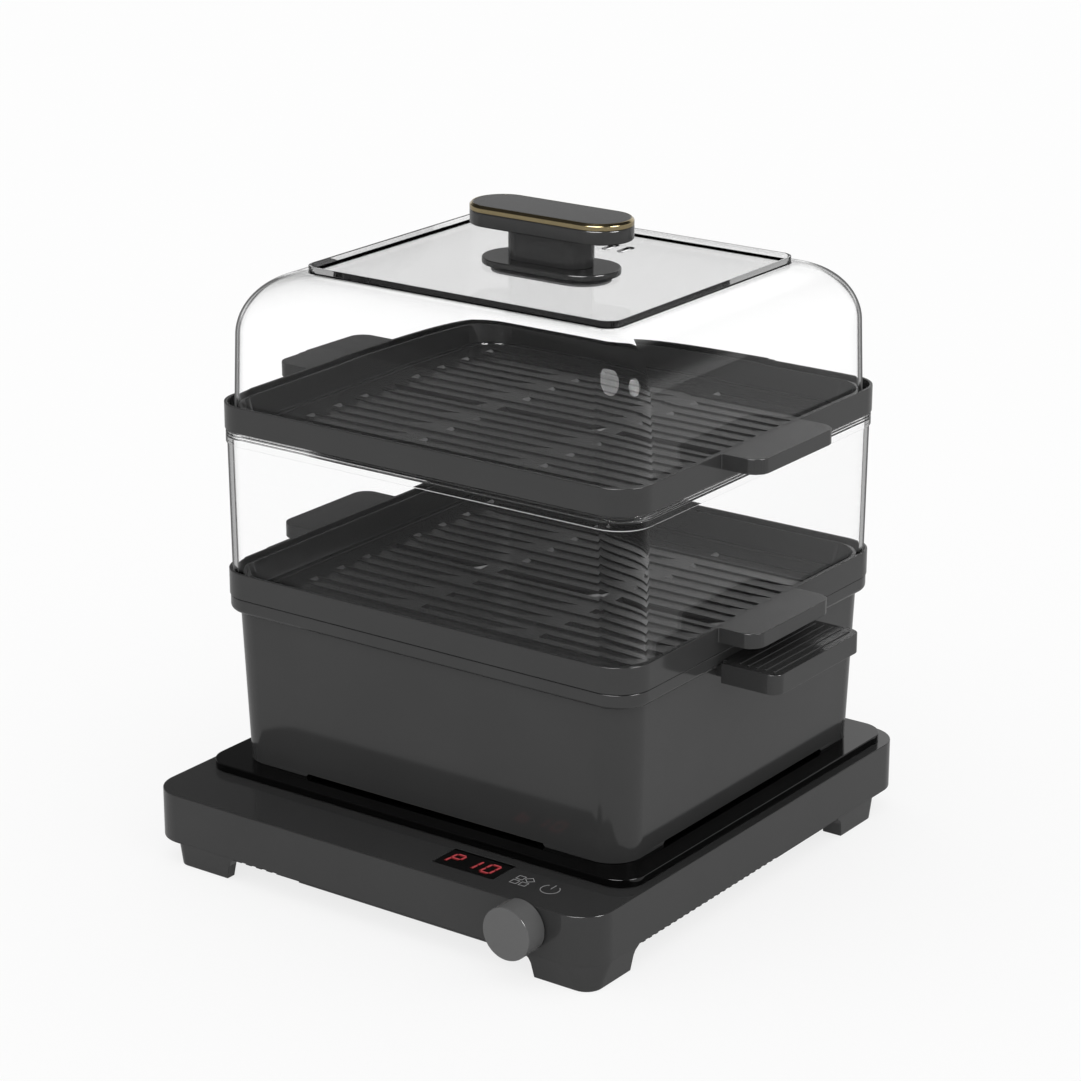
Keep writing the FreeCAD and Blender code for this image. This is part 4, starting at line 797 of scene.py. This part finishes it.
def lidDome():
    c = clear
    bm = bmesh.new()
    outer, inner = lidShell(0.0, c["panelTop"]), lidShell(c["lidWall"], c["panelTop"] - c["lidWall"])
    crown = (c["crownX"], c["crownY"], c["crownCorner"])
    rim = [crown + (c["rimTop"],), tuple(v - c["rimFlat"] for v in crown) + (c["rimTop"],),
           tuple(v - c["rimWidth"] for v in crown) + (c["panelTop"],)]
    rings = stack(bm, inner[::-1] + outer + rim, closeStart=False, closeEnd=False, steps=16)
    vents = [[outline(bm, c["ventHalf"], c["ventLong"], c["ventHalf"] - hair, z, steps=8,
                      x=index * c["ventPitch"], y=tierY + c["ventY"]) for index in (-1, 0, 1)]
             for z in (c["panelTop"] - c["lidWall"], c["panelTop"])]
    for ring, holes in zip((rings[0], rings[-1]), vents):
        bmesh.ops.triangle_fill(bm, edges=ring + [e for hole in holes for e in hole], use_beauty=True,
                                use_dissolve=False)
    for low, high in zip(*vents):
        bmesh.ops.bridge_loops(bm, edges=low + high)
    return finishPiece(bm, "lidDome", clearPlastic, "lid", ["lid_dome"], soft=c["soft"],
                       crease=28)


grip = {"plateHalf": 44.8, "plateRadius": 21.6, "plateBottom": 346.3, "plateTop": 350.0, "plateSoft": 0.7,
        "stemHalf": 28.0, "stemRadius": 11.6, "stemSoft": 0.3, "half": 54.0, "radius": 19.4, "bottom": 368.5,
        "bodySoft": 0.8, "bandBottom": 376.9, "bandTop": 379.5, "bevel": 1.4, "inset": 2.0,
        "capBottom": 377.5, "top": 380.9, "capSoft": 0.3, "trimSoft": 0.2}


def lidGrip():
    # plate, stem, grip and cap one above the other, each with round ends, and the trim around the cap
    g = grip
    for name, node, soft, half, radius, low, high in (
            ("gripPlate", "lid_handle_base", g["plateSoft"],
             g["plateHalf"], g["plateRadius"], g["plateBottom"], g["plateTop"]),
            ("gripStem", "lid_handle_stem", g["stemSoft"],
             g["stemHalf"], g["stemRadius"], g["plateTop"], g["bottom"]),
            ("gripBody", "lid_handle_grip", g["bodySoft"],
             g["half"], g["radius"], g["bottom"], g["bandBottom"]),
            ("gripCap", "lid_handle_cap", g["capSoft"],
             g["half"] - g["inset"], g["radius"] - g["inset"], g["capBottom"], g["top"])):
        bm = bmesh.new()
        stack(bm, [(half, radius, radius - hair, z) for z in (low, high)], steps=24)
        finishPiece(bm, name, handleNylon, "lid", [node], soft=soft)
    bm = bmesh.new()
    rings = [(0.0, g["bandBottom"]), (0.0, g["bandTop"]), (g["bevel"], g["top"]), (g["inset"], g["top"]),
             (g["inset"], g["bandBottom"])]
    stack(bm, [(g["half"] - less, g["radius"] - less, g["radius"] - less - hair, z) for less, z in rings],
          loop=True, steps=24)
    return finishPiece(bm, "gripTrim", goldPlate, "lid", ["lid_handle_trim"], soft=g["trimSoft"])


potBody()
potHandle(1, "potHandleRight", "pot_handle_right")
potHandle(-1, "potHandleLeft", "pot_handle_left")
tray(potTop, "lowerTray", "lower_tray", "lower_tray")
print("pot and lower tray made")
clearRing()
tray(ringTop, "upperTray", "upper_tray", "upper_tray")
lidDome()
lidGrip()
print("upper tiers made")


studio = {"surround": 0.95, "seenAbove": 0.18, "bandLow": 3.0, "bandHigh": 17.0, "behindSoft": 0.2,
          "dimLow": 16.5, "dimHigh": 26.0, "dimShare": 0.2, "windowTurn": 14.0, "windowRise": 24.0,
          "windowOuter": 24.0, "windowInner": 8.0, "windowLevel": 1.0, "floorHalf": 14.0, "floorLift": 0.8,
          "floorThrough": 1.3, "floorMirrored": 0.4, "mirrorShare": 0.85, "lampReach": 1.7,
          "lampAim": (0.0, 0.0, 0.25),
          "lamps": ({"turn": 12.9, "rise": 44.0, "spread": 46.0, "radiance": 13.0},
                    {"turn": 88.0, "rise": 31.0, "spread": 28.0, "radiance": 20.0})}
viewpoint = {"place": (1.09475, -1.50149, 0.81926), "aim": (0.005625, 0.0079, 0.185407), "lens": 111.179,
             "sensor": 36}


def studioWorld():
    # one pale room: white to the camera, brighter low down than above for what the gloss mirrors
    s = studio
    world = bpy.data.worlds.new("paleRoom")
    bpy.context.scene.world = world
    world.use_nodes = True
    tree = world.node_tree
    tree.nodes.clear()
    output = addNode(tree, "OutputWorld")
    direction = addNode(tree, "TexCoord")
    height = addNode(tree, "SeparateXYZ", None, {0: direction.outputs["Generated"]})
    band = ramp(tree, height.outputs["Z"], sin(radians(s["bandLow"])), sin(radians(s["bandHigh"])), 1.0, 0.0)
    # the pale band along the horizon is behind the machine
    behind = ramp(tree, height.outputs["Y"], -s["behindSoft"], s["behindSoft"])
    room = addNode(tree, "MapRange", {"To Min": s["seenAbove"], "To Max": 1.0},
                   {"Value": combine(tree, "MULTIPLY", band, behind)})
    dimmer = ramp(tree, height.outputs["Z"], sin(radians(s["dimLow"])), sin(radians(s["dimHigh"])), 1.0,
                  s["dimShare"])
    above = combine(tree, "MULTIPLY", room.outputs["Result"], dimmer)
    turn, rise = radians(s["windowTurn"]), radians(s["windowRise"])
    toPane = addNode(tree, "VectorMath", {1: (-cos(rise) * sin(turn), cos(rise) * cos(turn), sin(rise))},
                     {0: direction.outputs["Generated"]}, operation="DOT_PRODUCT")
    pane = ramp(tree, toPane.outputs["Value"], cos(radians(s["windowOuter"])), cos(radians(s["windowInner"])),
                0.0, s["windowLevel"])
    mirrored = combine(tree, "MAXIMUM", above, pane)
    path = addNode(tree, "LightPath")
    soft = addNode(tree, "Mix", {3: s["surround"]}, {0: path.outputs["Is Diffuse Ray"], 2: mirrored},
                   data_type="FLOAT")
    level = addNode(tree, "Mix", {3: 1.0}, {0: path.outputs["Is Camera Ray"], 2: soft.outputs[0]},
                    data_type="FLOAT")
    back = addNode(tree, "Background", {"Color": (1, 1, 1, 1)}, {"Strength": level.outputs[0]})
    tree.links.new(back.outputs[0], output.inputs["Surface"])


def studioFloor():
    s = studio
    bm = bmesh.new()
    bmesh.ops.create_grid(bm, x_segments=1, y_segments=1, size=s["floorHalf"])
    mesh = addMesh(bm, "studioFloor")
    floor = addObject("studioFloor", mesh)
    # Matt painted board: no shine, an even white.
    material, tree, output = startMaterial("whiteBoard")
    place = addNode(tree, "TexCoord")
    grain = addNode(tree, "TexNoise", {"Scale": 3.0}, {"Vector": place.outputs["Object"]})
    tone = addNode(tree, "Mix", {6: hexColour("#fbfbfb"), 7: hexColour("#fdfdfd")}, {0: grain.outputs["Fac"]},
                   data_type="RGBA")
    path = addNode(tree, "LightPath")
    # straight through clear plastic the board is as white as it looks; in gloss it is the greyer room
    unturned = addNode(tree, "Math", {1: 0.5}, {0: path.outputs["Glossy Depth"]}, operation="LESS_THAN")
    straight = combine(tree, "MULTIPLY", path.outputs["Is Transmission Ray"], unturned.outputs[0])
    seen = combine(tree, "MAXIMUM", path.outputs["Is Camera Ray"], straight)
    share = addNode(tree, "Mix", {2: s["mirrorShare"], 3: s["floorLift"]}, {0: seen}, data_type="FLOAT")
    unlit = addNode(tree, "Math", {0: 1.0}, {1: path.outputs["Is Diffuse Ray"]}, operation="SUBTRACT")
    opaque = addNode(tree, "Mix", {2: s["floorMirrored"], 3: s["floorThrough"]}, {0: straight},
                     data_type="FLOAT")
    strength = addNode(tree, "Mix", {3: 1.0}, {0: path.outputs["Is Camera Ray"], 2: opaque.outputs[0]},
                       data_type="FLOAT")
    shader = addNode(tree, "BsdfPrincipled", {"Roughness": 1.0, "Specular IOR Level": 0.0},
                     {"Base Color": tone.outputs[2]})
    white = addNode(tree, "Emission", None, {"Strength": strength.outputs[0]})
    mixed = addNode(tree, "MixShader", None,
                    {0: combine(tree, "MULTIPLY", share.outputs[0], unlit.outputs[0]), 1: shader.outputs[0],
                     2: white.outputs[0]})
    tree.links.new(mixed.outputs[0], output.inputs["Surface"])
    mesh.materials.append(material)


def studioLamps():
    # two round soft boxes; turn runs from the front towards the right, spread is how wide each looks
    centre, reach = Vector(studio["lampAim"]), studio["lampReach"]
    for index, box in enumerate(studio["lamps"]):
        turn, rise = radians(box["turn"]), radians(box["rise"])
        place = centre + reach * Vector((cos(rise) * sin(turn), -cos(rise) * cos(turn), sin(rise)))
        lamp = bpy.data.lights.new("softBox%d" % index, "AREA")
        lamp.shape = "DISK"
        lamp.size = 2 * reach * tan(radians(box["spread"] / 2))
        lamp.energy = box["radiance"] * pi * pi * (lamp.size / 2) ** 2
        lamp.use_nodes = True
        tree = lamp.node_tree
        tree.nodes.clear()
        path = addNode(tree, "LightPath")
        # a box shows in gloss itself, not again in a reflection of that gloss
        once = addNode(tree, "Math", {1: 1.5}, {0: path.outputs["Glossy Depth"]}, operation="LESS_THAN")
        shine = addNode(tree, "Emission", None, {"Strength": once.outputs[0]})
        output = addNode(tree, "OutputLight")
        tree.links.new(shine.outputs[0], output.inputs["Surface"])
        holder = addObject("softBox%d" % index, lamp)
        holder.location = place
        holder.rotation_euler = (centre - place).to_track_quat("-Z", "Y").to_euler()
        # the room gives the even light; the boxes only shine in gloss and clear plastic
        holder.visible_diffuse = False


def studioCamera():
    v = viewpoint
    lens = bpy.data.cameras.new("viewpoint")
    lens.lens = v["lens"]
    lens.sensor_width = v["sensor"]
    camera = addObject("viewpoint", lens)
    camera.location = v["place"]
    camera.rotation_euler = (Vector(v["aim"]) - camera.location).to_track_quat("-Z", "Y").to_euler()
    bpy.context.scene.camera = camera


studioWorld()
studioFloor()
studioLamps()
studioCamera()
bpy.context.scene.view_settings.view_transform = "Standard"
print("studio made")
